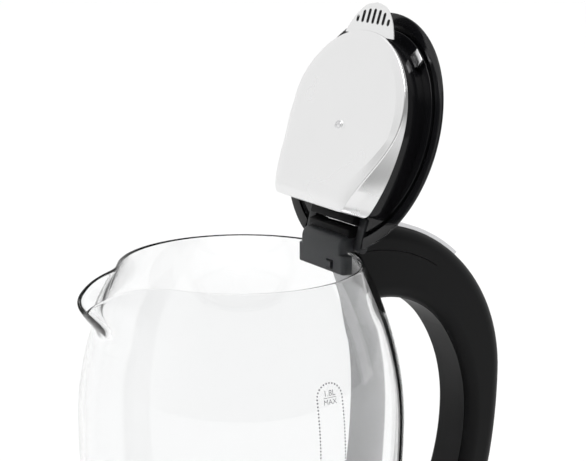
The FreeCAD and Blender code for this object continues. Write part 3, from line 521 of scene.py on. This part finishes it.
def make_lettering(name, text, size, height):
    """Printed text laid on the glass, in the middle of the window."""
    curve = bpy.data.curves.new(name, "FONT")
    curve.body = text
    curve.size = size * MM
    curve.align_x = "CENTER"
    carrier = bpy.data.objects.new(name, curve)
    bpy.context.scene.collection.objects.link(carrier)
    bpy.context.view_layer.update()
    graph = bpy.context.evaluated_depsgraph_get()
    mesh = bpy.data.meshes.new_from_object(carrier.evaluated_get(graph))
    bpy.data.objects.remove(carrier)
    for vertex in mesh.vertices:
        vertex.co = on_glass(vertex.co.x / MM, height + vertex.co.y / MM) * MM
    item = bpy.data.objects.new(name, mesh)
    bpy.context.scene.collection.objects.link(item)
    return item


def make_rule(name, height):
    """The printed line under a level mark."""
    points = []
    for row in (0, RULE_THICKNESS):
        points += [on_glass(-RULE_HALF + 2 * RULE_HALF * i / RULE_COLUMNS, height + row)
                   for i in range(RULE_COLUMNS + 1)]
    faces = [(i, i + 1, RULE_COLUMNS + 2 + i, RULE_COLUMNS + 1 + i) for i in range(RULE_COLUMNS)]
    return build(name, points, faces)


level_pieces = [
    make_dots(),
    make_lettering("level_full", "1.8L", MARK_SIZE, 184.0),
    make_rule("level_full_rule", 183.1),
    make_lettering("level_max", "MAX", WORD_SIZE, 180.2),
    make_lettering("level_middle", "1.0L", MARK_SIZE, 140.0),
    make_rule("level_middle_rule", 139.1),
    make_lettering("level_low", "0.5L", MARK_SIZE, 112.0),
    make_rule("level_low_rule", 111.1),
    make_lettering("level_min", "MIN", WORD_SIZE, 108.2),
]
for piece in level_pieces:
    fit(piece, "jug", "grey_plastic", PRINT)

# ---------------------------------------------------------------- lid, built closed and then turned
# Sizes of the closed lid. LID_ZERO and every other value over 200 is a height. The depths of the
# cover, plug, floor, skirt, clips and spring go down from LID_ZERO, and SKIRT_TOP goes up from it.
LID_ZERO = 235.0
PLUG_RADIUS, SIDE_RADIUS, FLAT_X, CORNER = 48.2, 76.0, 39.5, 7.0
FRONT_STEPS, SIDE_STEPS, CORNER_STEPS, FLAT_STEPS = 60, 40, 20, 24
OUTLINE_COUNT = 480
COVER_BASE, COVER_ROLL, BASE_TURN_IN = 14.8, 0.9, 0.15
SHOULDER_DEPTH, SHOULDER_DROP, SHOULDER_FROM, SHOULDER_TO = 16.6, 7.8, -6.0, 38.0
FACE_DEPTH, FACE_SLOPE = 17.7, 0.27
RIM_TAPER, TAPER_FROM, TAPER_TO = 0.21, -26.0, 38.0
PLUG_TOP, PLUG_FOOT, PLUG_INSET, PLUG_WALL = 2.0, 14.7, 0.9, 2.0
RING_OUT, RING_IN, RING_SEAT = 60.0, 54.6, 231.0
RING_STEP, RING_RISE, RING_UNDER_RISE, RING_ARC_STEPS = 0.5, 1.3, 1.2, 26
LID_CROWN, LID_SKIN = 246.0, 2.2
RING_EDGE, HINGE_EDGE, RECESS_EDGE = 55.0, 51.0, 43.0
CUT_FAR, CUT_HALF, CUT_LOW, CUT_HIGH = 90.0, 80.0, 200.0, 260.0
EAR_IN, EAR_OUT, EAR_GAP = 18.2, 24.0, 0.6
EAR_ROOT, EAR_LOW, EAR_TOP, EAR_STEPS = 40.0, 230.6, 235.6, 16
EAR_SLOT_INSIDE, EAR_SLOT_GAP, EAR_SLOT_LOW = 1.0, 0.3, 228.0
FLOOR_RADIUS, FLOOR_TOP, FLOOR_LOW = 52.0, 2.2, 3.5
SKIRT_LOW, SKIRT_WALL, SKIRT_REACH, SKIRT_TOP = 8.0, 3.4, 1.3, 3.0
CLIP_ANGLE, CLIP_RADIUS, CLIP_DEPTH = 38.0, 50.4, 6.0
CLIP_IN, CLIP_OUT, CLIP_HALF, CLIP_HALF_THICK = 2.5, 3.2, 4.0, 1.0
SCREW_FACE, SCREW_TOP, SCREW_RADIUS = 216.6, 218.4, 2.35
CROSS_HALF, CROSS_HALF_WIDTH, CROSS_DEPTH, CROSS_TURNS = 1.4, 0.32, 0.6, (20, 110)
DIMPLE_IN, DIMPLE_EDGE, DIMPLE_OUT, DIMPLE_TOP = 2.55, 3.15, 3.6, 217.6
SPRING_PLACE, SPRING_BULGE, SPRING_DEPTH, SPRING_RADIUS = 44.3, 0.3, 6.2, 0.42
SPRING_NEAR, SPRING_FAR = -19, 5


def d_shape(inset):
    """Points of the plug's plan: round in front, fuller sides, a flat to the hinge."""
    front, side, flat = PLUG_RADIUS - inset, SIDE_RADIUS - inset, FLAT_X - inset
    bow = side - front
    corner_x = flat - CORNER
    corner_y = math.sqrt((side - CORNER) ** 2 - corner_x ** 2) - bow
    points = [(-front * math.cos(turn), front * math.sin(turn))
              for turn in (math.pi / 2 * i / FRONT_STEPS for i in range(FRONT_STEPS))]
    lean = math.atan2(corner_x, corner_y + bow)
    points += [(side * math.sin(turn), side * math.cos(turn) - bow)
               for turn in (lean * i / SIDE_STEPS for i in range(SIDE_STEPS))]
    for i in range(CORNER_STEPS + 1):
        turn = (math.pi / 2 - lean) * (1 - i / CORNER_STEPS)
        points.append((corner_x + CORNER * math.cos(turn), corner_y + CORNER * math.sin(turn)))
    points += [(flat, corner_y * (1 - i / FLAT_STEPS)) for i in range(1, FLAT_STEPS + 1)]
    return points


def by_angle(half_outline):
    """The outline's points at even angles, mirrored to the other side."""
    polar = sorted((math.atan2(y, x), math.hypot(x, y)) for x, y in half_outline)
    ring = []
    for i in range(OUTLINE_COUNT):
        angle = 2 * math.pi * i / OUTLINE_COUNT - math.pi
        want = min(max(abs(angle), polar[0][0]), polar[-1][0])
        k = next(k for k in range(1, len(polar)) if polar[k][0] >= want)
        (a, r), (b, s) = polar[k - 1], polar[k]
        share = (want - a) / (b - a) if b > a else 0
        # along a straight stretch the reciprocal of the radius changes nearly evenly
        radius = 1 / ((1 - share) / r + share / s)
        ring.append((radius * math.cos(angle), radius * math.sin(angle)))
    return ring


def smooth_half(control, steps=14):
    """A smooth line through control points of half an outline."""
    line = []
    for i in range(len(control) - 1):
        p0 = Vector(control[max(i - 1, 0)])
        p1, p2 = Vector(control[i]), Vector(control[i + 1])
        p3 = Vector(control[min(i + 2, len(control) - 1)])
        for k in range(steps):
            t = k / steps
            line.append(tuple(0.5 * (2 * p1 + (p2 - p0) * t + (2 * p0 - 5 * p1 + 4 * p2 - p3) * t * t
                                     + (3 * p1 - p0 - 3 * p2 + p3) * t ** 3)))
    line.append(control[-1])
    return line


def wall_depth(x):
    """Depth of the steel cover's shoulder: shallow in front, deep at the hinge."""
    return SHOULDER_DEPTH + SHOULDER_DROP * between(SHOULDER_FROM, SHOULDER_TO, x)


def face_depth(x):
    """Depth of the steel cover's face, which sinks a little towards the hinge."""
    return FACE_DEPTH + FACE_SLOPE * max(x, 0)


# Half the outline of the steel cover's raised face, from the front round to the hinge.
PLATEAU = [(-43.6, 0), (-42.1, 11.3), (-37.8, 21.8), (-30.8, 30.8), (-21.8, 37.2), (-11.3, 40.6),
           (0, 40.6), (10, 37.2), (19, 32.0), (25, 27.6), (28.4, 23.0), (29.4, 12.0), (29.4, 0)]


def tapered(outline):
    """The outline made narrower towards the hinge."""
    return [(x, y * (1 - RIM_TAPER * between(TAPER_FROM, TAPER_TO, x))) for x, y in outline]


def make_steel_cover():
    """The steel cover on the lid's underside: a wall, a rolled shoulder, a slope and a raised face."""
    base = by_angle(d_shape(0))
    shoulder, rim = tapered(base), tapered(by_angle(d_shape(COVER_ROLL)))
    plateau = by_angle(smooth_half(PLATEAU))
    rings = []

    def add(ring, depth_at):
        rings.append([(x, y, LID_ZERO - depth_at(x)) for x, y in ring])

    def blend(first, second, share):
        return [(a[0] + (b[0] - a[0]) * share, a[1] + (b[1] - a[1]) * share)
                for a, b in zip(first, second)]

    add(blend(base, plateau, BASE_TURN_IN), lambda x: COVER_BASE)
    add(base, lambda x: COVER_BASE)
    add(blend(base, shoulder, 0.5),
        lambda x: COVER_BASE + 0.5 * (wall_depth(x) - COVER_ROLL - COVER_BASE))
    for k in range(6):
        turn = math.pi / 2 * k / 5
        add(blend(shoulder, rim, 1 - math.cos(turn)),
            lambda x, turn=turn: wall_depth(x) - COVER_ROLL + COVER_ROLL * math.sin(turn))
    for share in (0.2, 0.4, 0.6, 0.8, 0.9, 0.96):
        add(blend(rim, plateau, share),
            lambda x, share=share: wall_depth(x) + (face_depth(x) - wall_depth(x)) * share)
    add(plateau, face_depth)
    for share in (0.985, 0.95, 0.85, 0.7, 0.5, 0.3, 0.12):
        add([(x * share, y * share) for x, y in plateau], face_depth)
    return loft("lid_steel_cover", rings, crease=40.0)


def ring_profile():
    """The lid's outer ring and dome in section."""
    def arc(reach, edge, crown):
        """Points from the edge up to the crown, level at the middle."""
        rise = crown - edge
        bend = (reach * reach + rise * rise) / (2 * rise)
        radii = [reach * (1 - i / RING_ARC_STEPS) for i in range(RING_ARC_STEPS + 1)]
        return [(radius, crown - bend + math.sqrt(bend * bend - radius * radius)) for radius in radii]

    edge = RING_SEAT + RING_RISE
    inner_edge = RING_SEAT + RING_UNDER_RISE
    top = arc(RING_OUT - RING_STEP, edge, LID_CROWN)
    under = arc(RING_IN, inner_edge, LID_CROWN - LID_SKIN)
    foot = rounded([(RING_IN, inner_edge, 0), (RING_IN, RING_SEAT, 0.45), (RING_OUT, RING_SEAT, 0.6),
                    (RING_OUT, RING_SEAT + 0.9, 0.3), (RING_OUT - RING_STEP, edge, 0)])
    return top + under[::-1] + foot[1:-1]


def cut_for_hinge(piece):
    """Opens a piece of the lid round the hinge block and the ears."""
    for edge, half in ((RING_EDGE, CUT_HALF), (HINGE_EDGE, EAR_OUT + EAR_GAP), (RECESS_EDGE, EAR_IN)):
        combine(piece, box_between("cut", (edge, -half, CUT_LOW), (CUT_FAR, half, CUT_HIGH)))
    return piece


def make_lid_shell():
    """The lid's dome and rim ring, with slots for the ears."""
    shell = cut_for_hinge(lathe("lid_shell", ring_profile(), steps=240))
    for side in (-1, 1):
        near, far = sorted((side * (EAR_IN - EAR_SLOT_INSIDE), side * (EAR_OUT + EAR_SLOT_GAP)))
        combine(shell, box_between("cut", (EAR_ROOT - EAR_SLOT_GAP, near, EAR_SLOT_LOW),
                                   (RING_OUT, far, EAR_TOP + EAR_SLOT_GAP)))
    return soften(shell, 0.25, 2, 50)


def make_plug():
    """The wall of the black plug under the steel cover."""
    rings = []
    outer = by_angle(d_shape(PLUG_INSET))
    inner = by_angle(d_shape(PLUG_INSET + PLUG_WALL))
    for ring, depth in ((outer, PLUG_TOP), (outer, PLUG_FOOT), (inner, PLUG_FOOT), (inner, PLUG_TOP)):
        rings.append([(x, y, LID_ZERO - depth) for x, y in ring])
    rings.append(rings[0])
    wall = loft("lid_plug_wall", rings, capped=False)
    return soften(wall, 0.3, 2, 50)


def make_groove_floor():
    """The black floor of the groove between the plug and the rim ring."""
    low, top = LID_ZERO - FLOOR_LOW, LID_ZERO - FLOOR_TOP
    outline = rounded([(0, low, 0), (FLOOR_RADIUS, low, 0.3), (FLOOR_RADIUS, top, 0), (0, top, 0)])
    return cut_for_hinge(lathe("lid_groove_floor", outline, steps=200))


def make_skirt():
    """The wall that closes the lid towards the hinge block."""
    skirt = box_between("lid_skirt", (RECESS_EDGE - SKIRT_WALL, -EAR_IN, LID_ZERO - SKIRT_LOW),
                        (RECESS_EDGE + SKIRT_REACH, EAR_IN, LID_ZERO + SKIRT_TOP))
    return soften(skirt, 0.3, 2, 50)


def make_ear(side):
    """One of the two ears that carry the lid on its pin."""
    near, far = sorted((side * EAR_IN, side * EAR_OUT))
    reach = EAR_TOP - PIVOT.z
    outline = [(EAR_ROOT, EAR_LOW), (EAR_ROOT, EAR_TOP)]
    outline += [(PIVOT.x + reach * math.sin(a), PIVOT.z + reach * math.cos(a))
                for a in (math.pi * i / EAR_STEPS for i in range(EAR_STEPS + 1))]
    ear = prism_y("lid_ear_" + ("left" if side > 0 else "right"), outline, near, far)
    return soften(ear, 0.5, 3, 50)


# Half the outline of the spout filter, from its tip back to the steel cover.
FILTER_HALF = [(-62.5, 0), (-61.2, 6.9), (-58.5, 11.4), (-54.2, 15.7), (-49.5, 18.6), (-46.0, 20.3)]
FILTER_LEVEL, FILTER_SHEET, FILTER_HALF_WIDTH = 221.1, 0.5, 20.0
BACK_INSET, BACK_LOW, BACK_HIGH = 1.2, 0.05, 0.8
SLOT_ROOT, SLOT_PITCH, SLOT_HALF = -51.7, 4.22, 1.1
SLOT_LENGTHS = (3.5, 6.4, 7.4, 7.7, 7.4, 6.4, 3.5)


def filter_rings(inset, low, high):
    """The filter's outline at two heights, drawn in by an inset."""
    half = [(x + inset, y) for x, y in smooth_half(FILTER_HALF)]
    half = [(x, max(y - inset * y / FILTER_HALF_WIDTH, 0)) for x, y in half]
    outline = half + [(x, -y) for x, y in reversed(half[1:])]
    return [[(x, y, z) for x, y in outline] for z in (high, low)]


def make_filter():
    """The slotted steel tongue that reaches into the spout."""
    tab = loft("spout_filter_sheet", filter_rings(0, FILTER_LEVEL - FILTER_SHEET, FILTER_LEVEL))
    tab = soften(tab, 0.15, 2, 50)
    for i, length in zip(range(-3, 4), SLOT_LENGTHS):
        middle, straight = i * SLOT_PITCH, length - 2 * SLOT_HALF
        slot = []
        for end, way in ((0, 1), (1, -1)):
            for a in (math.pi * k / 8 - math.pi / 2 for k in range(9)):
                slot.append((SLOT_ROOT - SLOT_HALF - straight * end + SLOT_HALF * math.cos(a) * way,
                             middle + SLOT_HALF * math.sin(a) * way))
        cutter = loft("cut", [[(x, y, z) for x, y in slot] for z in (FILTER_LEVEL - 3, FILTER_LEVEL + 3)])
        combine(tab, cutter)
    return tab


def make_filter_back():
    """The black plate behind the filter's slots."""
    low, high = FILTER_LEVEL + BACK_LOW, FILTER_LEVEL + BACK_HIGH
    back = loft("spout_filter_back", filter_rings(BACK_INSET, low, high))
    return soften(back, 0.2, 2, 50)


def make_clip(side):
    """One of the small clips in the lid's groove, at an angle from the front."""
    clip = box_between("lid_clip_" + ("left" if side > 0 else "right"),
                       (-CLIP_IN, -CLIP_HALF, -CLIP_HALF_THICK), (CLIP_OUT, CLIP_HALF, CLIP_HALF_THICK))
    soften(clip, 0.4)
    where = (Matrix.Rotation(math.radians(180 - side * CLIP_ANGLE), 4, "Z")
             @ Matrix.Translation((CLIP_RADIUS, 0, LID_ZERO - CLIP_DEPTH)))
    return place(clip, where)


def make_lid_screw():
    """The head of the cross-slotted screw in the middle of the steel cover."""
    outline = rounded([(0, SCREW_FACE, 0), (SCREW_RADIUS, SCREW_FACE, 0.45), (SCREW_RADIUS, SCREW_TOP, 0),
                       (0, SCREW_TOP, 0)])
    head = lathe("lid_screw_head", outline, steps=48)
    for turn in CROSS_TURNS:
        bar = box_between("cut", (-CROSS_HALF, -CROSS_HALF_WIDTH, SCREW_FACE - 1),
                          (CROSS_HALF, CROSS_HALF_WIDTH, SCREW_FACE + CROSS_DEPTH))
        combine(head, place(bar, Matrix.Rotation(math.radians(turn), 4, "Z")))
    return head


def make_screw_dimple():
    """The low pressed ring round the screw."""
    outline = rounded([(DIMPLE_IN, SCREW_FACE + 0.1, 0.15), (DIMPLE_EDGE, SCREW_FACE + 0.1, 0.3),
                       (DIMPLE_OUT, DIMPLE_TOP, 0), (DIMPLE_IN, DIMPLE_TOP, 0)])
    return lathe("lid_screw_ring", outline, steps=48)


def make_spring():
    """The spring wire that lies along the hinge recess and bulges a little towards one end."""
    path = [(SPRING_PLACE + SPRING_BULGE * between(-8, SPRING_FAR, y), y, LID_ZERO - SPRING_DEPTH)
            for y in range(SPRING_NEAR, SPRING_FAR)]
    return tube("lid_spring_wire", path, SPRING_RADIUS)


lid_pieces = [
    (make_steel_cover(), "cover_steel", COVER, ("lid_underside_cover",)),
    (make_lid_shell(), "lid_plastic", GLOSS, ("lid_top_cover",)),
    (make_plug(), "lid_plastic", GLOSS, ("lid_body",)),
    (make_groove_floor(), "lid_plastic", GLOSS, ()),
    (make_skirt(), "lid_plastic", BARREL, ()),
    (make_ear(-1), "lid_plastic", EAR, ()),
    (make_ear(1), "lid_plastic", EAR, ()),
    (make_filter(), "cover_steel", COVER, ("spout_filter",)),
    (make_filter_back(), "lid_plastic", GLOSS, ()),
    (make_clip(-1), "screw_steel", SCREW, ("lid_clips",)),
    (make_clip(1), "screw_steel", SCREW, ()),
    (make_lid_screw(), "screw_steel", SCREW, ("lid_screw",)),
    (make_screw_dimple(), "cover_steel", COVER, ()),
    (make_spring(), "spring_wire", WIRE, ("lid_spring",)),
]
for piece, slot, look, replaced in lid_pieces:
    place(piece, LID_TURN)
    fit(piece, "lid", slot, look, *replaced)

# ---------------------------------------------------------------- foot of the jug and power base
COLLAR_SHEET, COLLAR_TOP_RADIUS, COLLAR_LIP = 1.0, 73.2, 4.6
BASE_SKIN, BASE_SHOULDER, BASE_SLOPE, BASE_SLOPE_INSIDE = 2.0, 11.5, 3.0, 4.0


def turned_piece(name, corners, body, slot, look, node):
    """A turned piece with rounded edges that stands for one node."""
    return fit(lathe(name, rounded(corners), steps=200), body, slot, look, node)


collar_top, collar_foot, collar_radius = COLLAR_HIGH.z, COLLAR_LOW.z, COLLAR_HIGH.y
lip_radius = COLLAR_TOP_RADIUS - COLLAR_LIP
turned_piece("collar_ring", [
    (lip_radius, collar_top, 0.3), (COLLAR_TOP_RADIUS, collar_top, 1.6), (collar_radius, collar_foot, 0.3),
    (collar_radius - COLLAR_SHEET, collar_foot, 0.3),
    (COLLAR_TOP_RADIUS - COLLAR_SHEET, collar_top - COLLAR_SHEET, 0.8),
    (lip_radius, collar_top - COLLAR_SHEET, 0.3)], "jug", "brushed_band", COLLAR, "base_collar")

deck, base_radius, base_foot = SHELL_HIGH.z, SHELL_HIGH.y, SHELL_LOW.z
turned_piece("base_shell_skin", [
    (0, deck - BASE_SKIN, 0), (base_radius - BASE_SLOPE_INSIDE, deck - BASE_SKIN, 1.5),
    (base_radius - BASE_SKIN, BASE_SHOULDER, 1.0), (base_radius - BASE_SKIN, base_foot, 0.3),
    (base_radius, base_foot, 0.6), (base_radius, BASE_SHOULDER, 2.5),
    (base_radius - BASE_SLOPE, deck, 1.6), (0, deck, 0)],
    "power_base", "black_plastic", BLACK, "power_base_shell")

# ---------------------------------------------------------------- hinge block
BLOCK_TOP, BLOCK_REAR, BLOCK_LAP, BLOCK_STEP, BLOCK_ROUND = 239.0, 60.5, 230.6, 50.8, 2.2
BLOCK_HALF, BLOCK_NOSE = BLOCK_HIGH.y, 5.2
SADDLE_HALF, SADDLE_ROUND, SADDLE_TOP = 20.2, 4.5, 230.2
CATCH_SLOT_LOW, CATCH_SLOT_HIGH = (40.0, -11.3, 222.2), (48.6, -5.7, 226.8)
BARREL_RADIUS, BARREL_FOOT, BARREL_START, BARREL_SWEEP, BARREL_INSET = 9.7, 236.0, -25.0, 65.0, 0.4


def block_ring(y, inset):
    """The hinge block's side outline at one place across, drawn in by an inset."""
    face, rear = BLOCK_LOW.x + inset, BLOCK_REAR - inset
    foot, top, lap = BLOCK_LOW.z + inset, BLOCK_TOP - inset, BLOCK_LAP + inset
    step = BLOCK_STEP - inset
    corners = [(face, foot, 0.8), (face, top, BLOCK_NOSE - inset), (rear, top, 0.5), (rear, lap, 0.5),
               (step, lap, 0.3), (step, foot, 0.8)]
    return [(x, y, z) for x, z in rounded(corners, 8)]


def make_hinge_block():
    """The block that hooks over the rim, rounded at both ends, with the catch slot in its face."""
    rings = []
    for side in (-1, 1):
        turns = [math.pi / 2 * k / 8 for k in range(9)]
        for turn in (turns[::-1] if side < 0 else turns):
            y = side * (BLOCK_HALF - BLOCK_ROUND + BLOCK_ROUND * math.sin(turn))
            rings.append(block_ring(y, BLOCK_ROUND * (1 - math.cos(turn))))
    body = loft("hinge_housing", rings, crease=50.0)
    combine(body, make_saddle(), "UNION")
    combine(body, box_between("cut", CATCH_SLOT_LOW, CATCH_SLOT_HIGH))
    return body


def make_saddle():
    """The wider foot of the hinge block, with its upright edges well rounded."""
    low, high = BLOCK_LOW.z, SADDLE_TOP
    face, rear = BLOCK_LOW.x, BLOCK_STEP
    plan = rounded([(face, -SADDLE_HALF, SADDLE_ROUND), (rear, -SADDLE_HALF, 0.6),
                    (rear, SADDLE_HALF, 0.6), (face, SADDLE_HALF, SADDLE_ROUND)], 10)
    saddle = loft("cut", [[(x, y, z) for x, y in plan] for z in (low, high)])
    return soften(saddle, 0.6, 3, 50)


def make_barrel():
    """The round top of the hinge, in line with its pin."""
    half = BLOCK_HALF - BARREL_INSET
    turns = [math.radians(BARREL_START + BARREL_SWEEP * i / 16) for i in range(17)]
    outline = [(PIVOT.x + BARREL_RADIUS * math.sin(turn), PIVOT.z + BARREL_RADIUS * math.cos(turn))
               for turn in turns]
    outline += [(outline[-1][0], BARREL_FOOT), (outline[0][0], BARREL_FOOT)]
    return soften(prism_y("hinge_barrel", outline, -half, half), 0.4, 2, 50)


fit(make_hinge_block(), "jug", "hinge_plastic", HINGE, "hinge_block")
fit(make_barrel(), "jug", "hinge_plastic", BARREL)

# ---------------------------------------------------------------- floor, light and camera
FLOOR_HALF_M = 9.0
LAMP_AIM_M = (0, 0, 0.18)
SKY_LOW, SKY_HIGH, SKY_FADE = 0.30, 0.95, 0.5
SUN_STRENGTH, SUN_SPREAD, SUN_LEAN, SUN_ROLL = 1.62, 40.0, 12.0, -8.0

floor = bpy.data.meshes.new("studio_floor")
floor.from_pydata([(x * FLOOR_HALF_M, y * FLOOR_HALF_M, 0) for x, y in ((-1, -1), (1, -1), (1, 1), (-1, 1))],
                  [], [(0, 1, 2, 3)])
floor_item = bpy.data.objects.new("studio_floor", floor)
bpy.context.scene.collection.objects.link(floor_item)
floor.materials.append(finish("floor_paper", (0.90, 0.90, 0.90), 0.85, grain=300, relief=0.0, spread=0.004))

world = bpy.data.worlds.new("studio")
bpy.context.scene.world = world
world.use_nodes = True
sky = world.node_tree
sky.nodes["Background"].inputs["Strength"].default_value = 1.0
direction = sky.nodes.new("ShaderNodeTexCoord")
split = sky.nodes.new("ShaderNodeSeparateXYZ")
fade = sky.nodes.new("ShaderNodeMapRange")
fade.inputs["From Min"].default_value = -SKY_FADE
fade.inputs["From Max"].default_value = SKY_FADE
fade.inputs["To Min"].default_value = SKY_LOW
fade.inputs["To Max"].default_value = SKY_HIGH
sky.links.new(direction.outputs["Generated"], split.inputs["Vector"])
sky.links.new(split.outputs["Y"], fade.inputs["Value"])
sky.links.new(fade.outputs["Result"], sky.nodes["Background"].inputs["Color"])


def soft_box(name, place_m, size, power):
    """A soft lamp that faces the middle of the kettle."""
    lamp = bpy.data.lights.new(name, "AREA")
    lamp.shape = "RECTANGLE"
    lamp.size, lamp.size_y = size
    lamp.energy = power
    item = bpy.data.objects.new(name, lamp)
    item.location = place_m
    item.rotation_euler = (Vector(LAMP_AIM_M) - Vector(place_m)).to_track_quat("-Z", "Y").to_euler()
    bpy.context.scene.collection.objects.link(item)


soft_box("top", (0.1, 0.4, 1.9), (1.4, 1.4), 1.5)
soft_box("side", (1.3, -0.5, 0.6), (0.3, 1.0), 1.0)
sun = bpy.data.lights.new("overhead", "SUN")
sun.energy = SUN_STRENGTH
sun.angle = math.radians(SUN_SPREAD)
sun_item = bpy.data.objects.new("overhead", sun)
sun_item.rotation_euler = (math.radians(SUN_LEAN), math.radians(SUN_ROLL), 0)
bpy.context.scene.collection.objects.link(sun_item)

CAMERA_PLACE = Vector((-422.3, -702.9, 436.3))
CAMERA_HEADING, CAMERA_TILT = 57.26, 13.13
CAMERA_LENS, CAMERA_SENSOR = 109.1, 36.0
heading, tilt = math.radians(CAMERA_HEADING), math.radians(CAMERA_TILT)
sight = Vector((math.cos(heading) * math.cos(tilt), math.sin(heading) * math.cos(tilt), -math.sin(tilt)))
lens = bpy.data.cameras.new("camera")
lens.sensor_width = CAMERA_SENSOR
lens.lens = CAMERA_LENS
camera = bpy.data.objects.new("camera", lens)
camera.location = CAMERA_PLACE * MM
camera.rotation_euler = sight.to_track_quat("-Z", "Y").to_euler()
bpy.context.scene.collection.objects.link(camera)
bpy.context.scene.camera = camera
bpy.context.scene.view_settings.view_transform = "Standard"
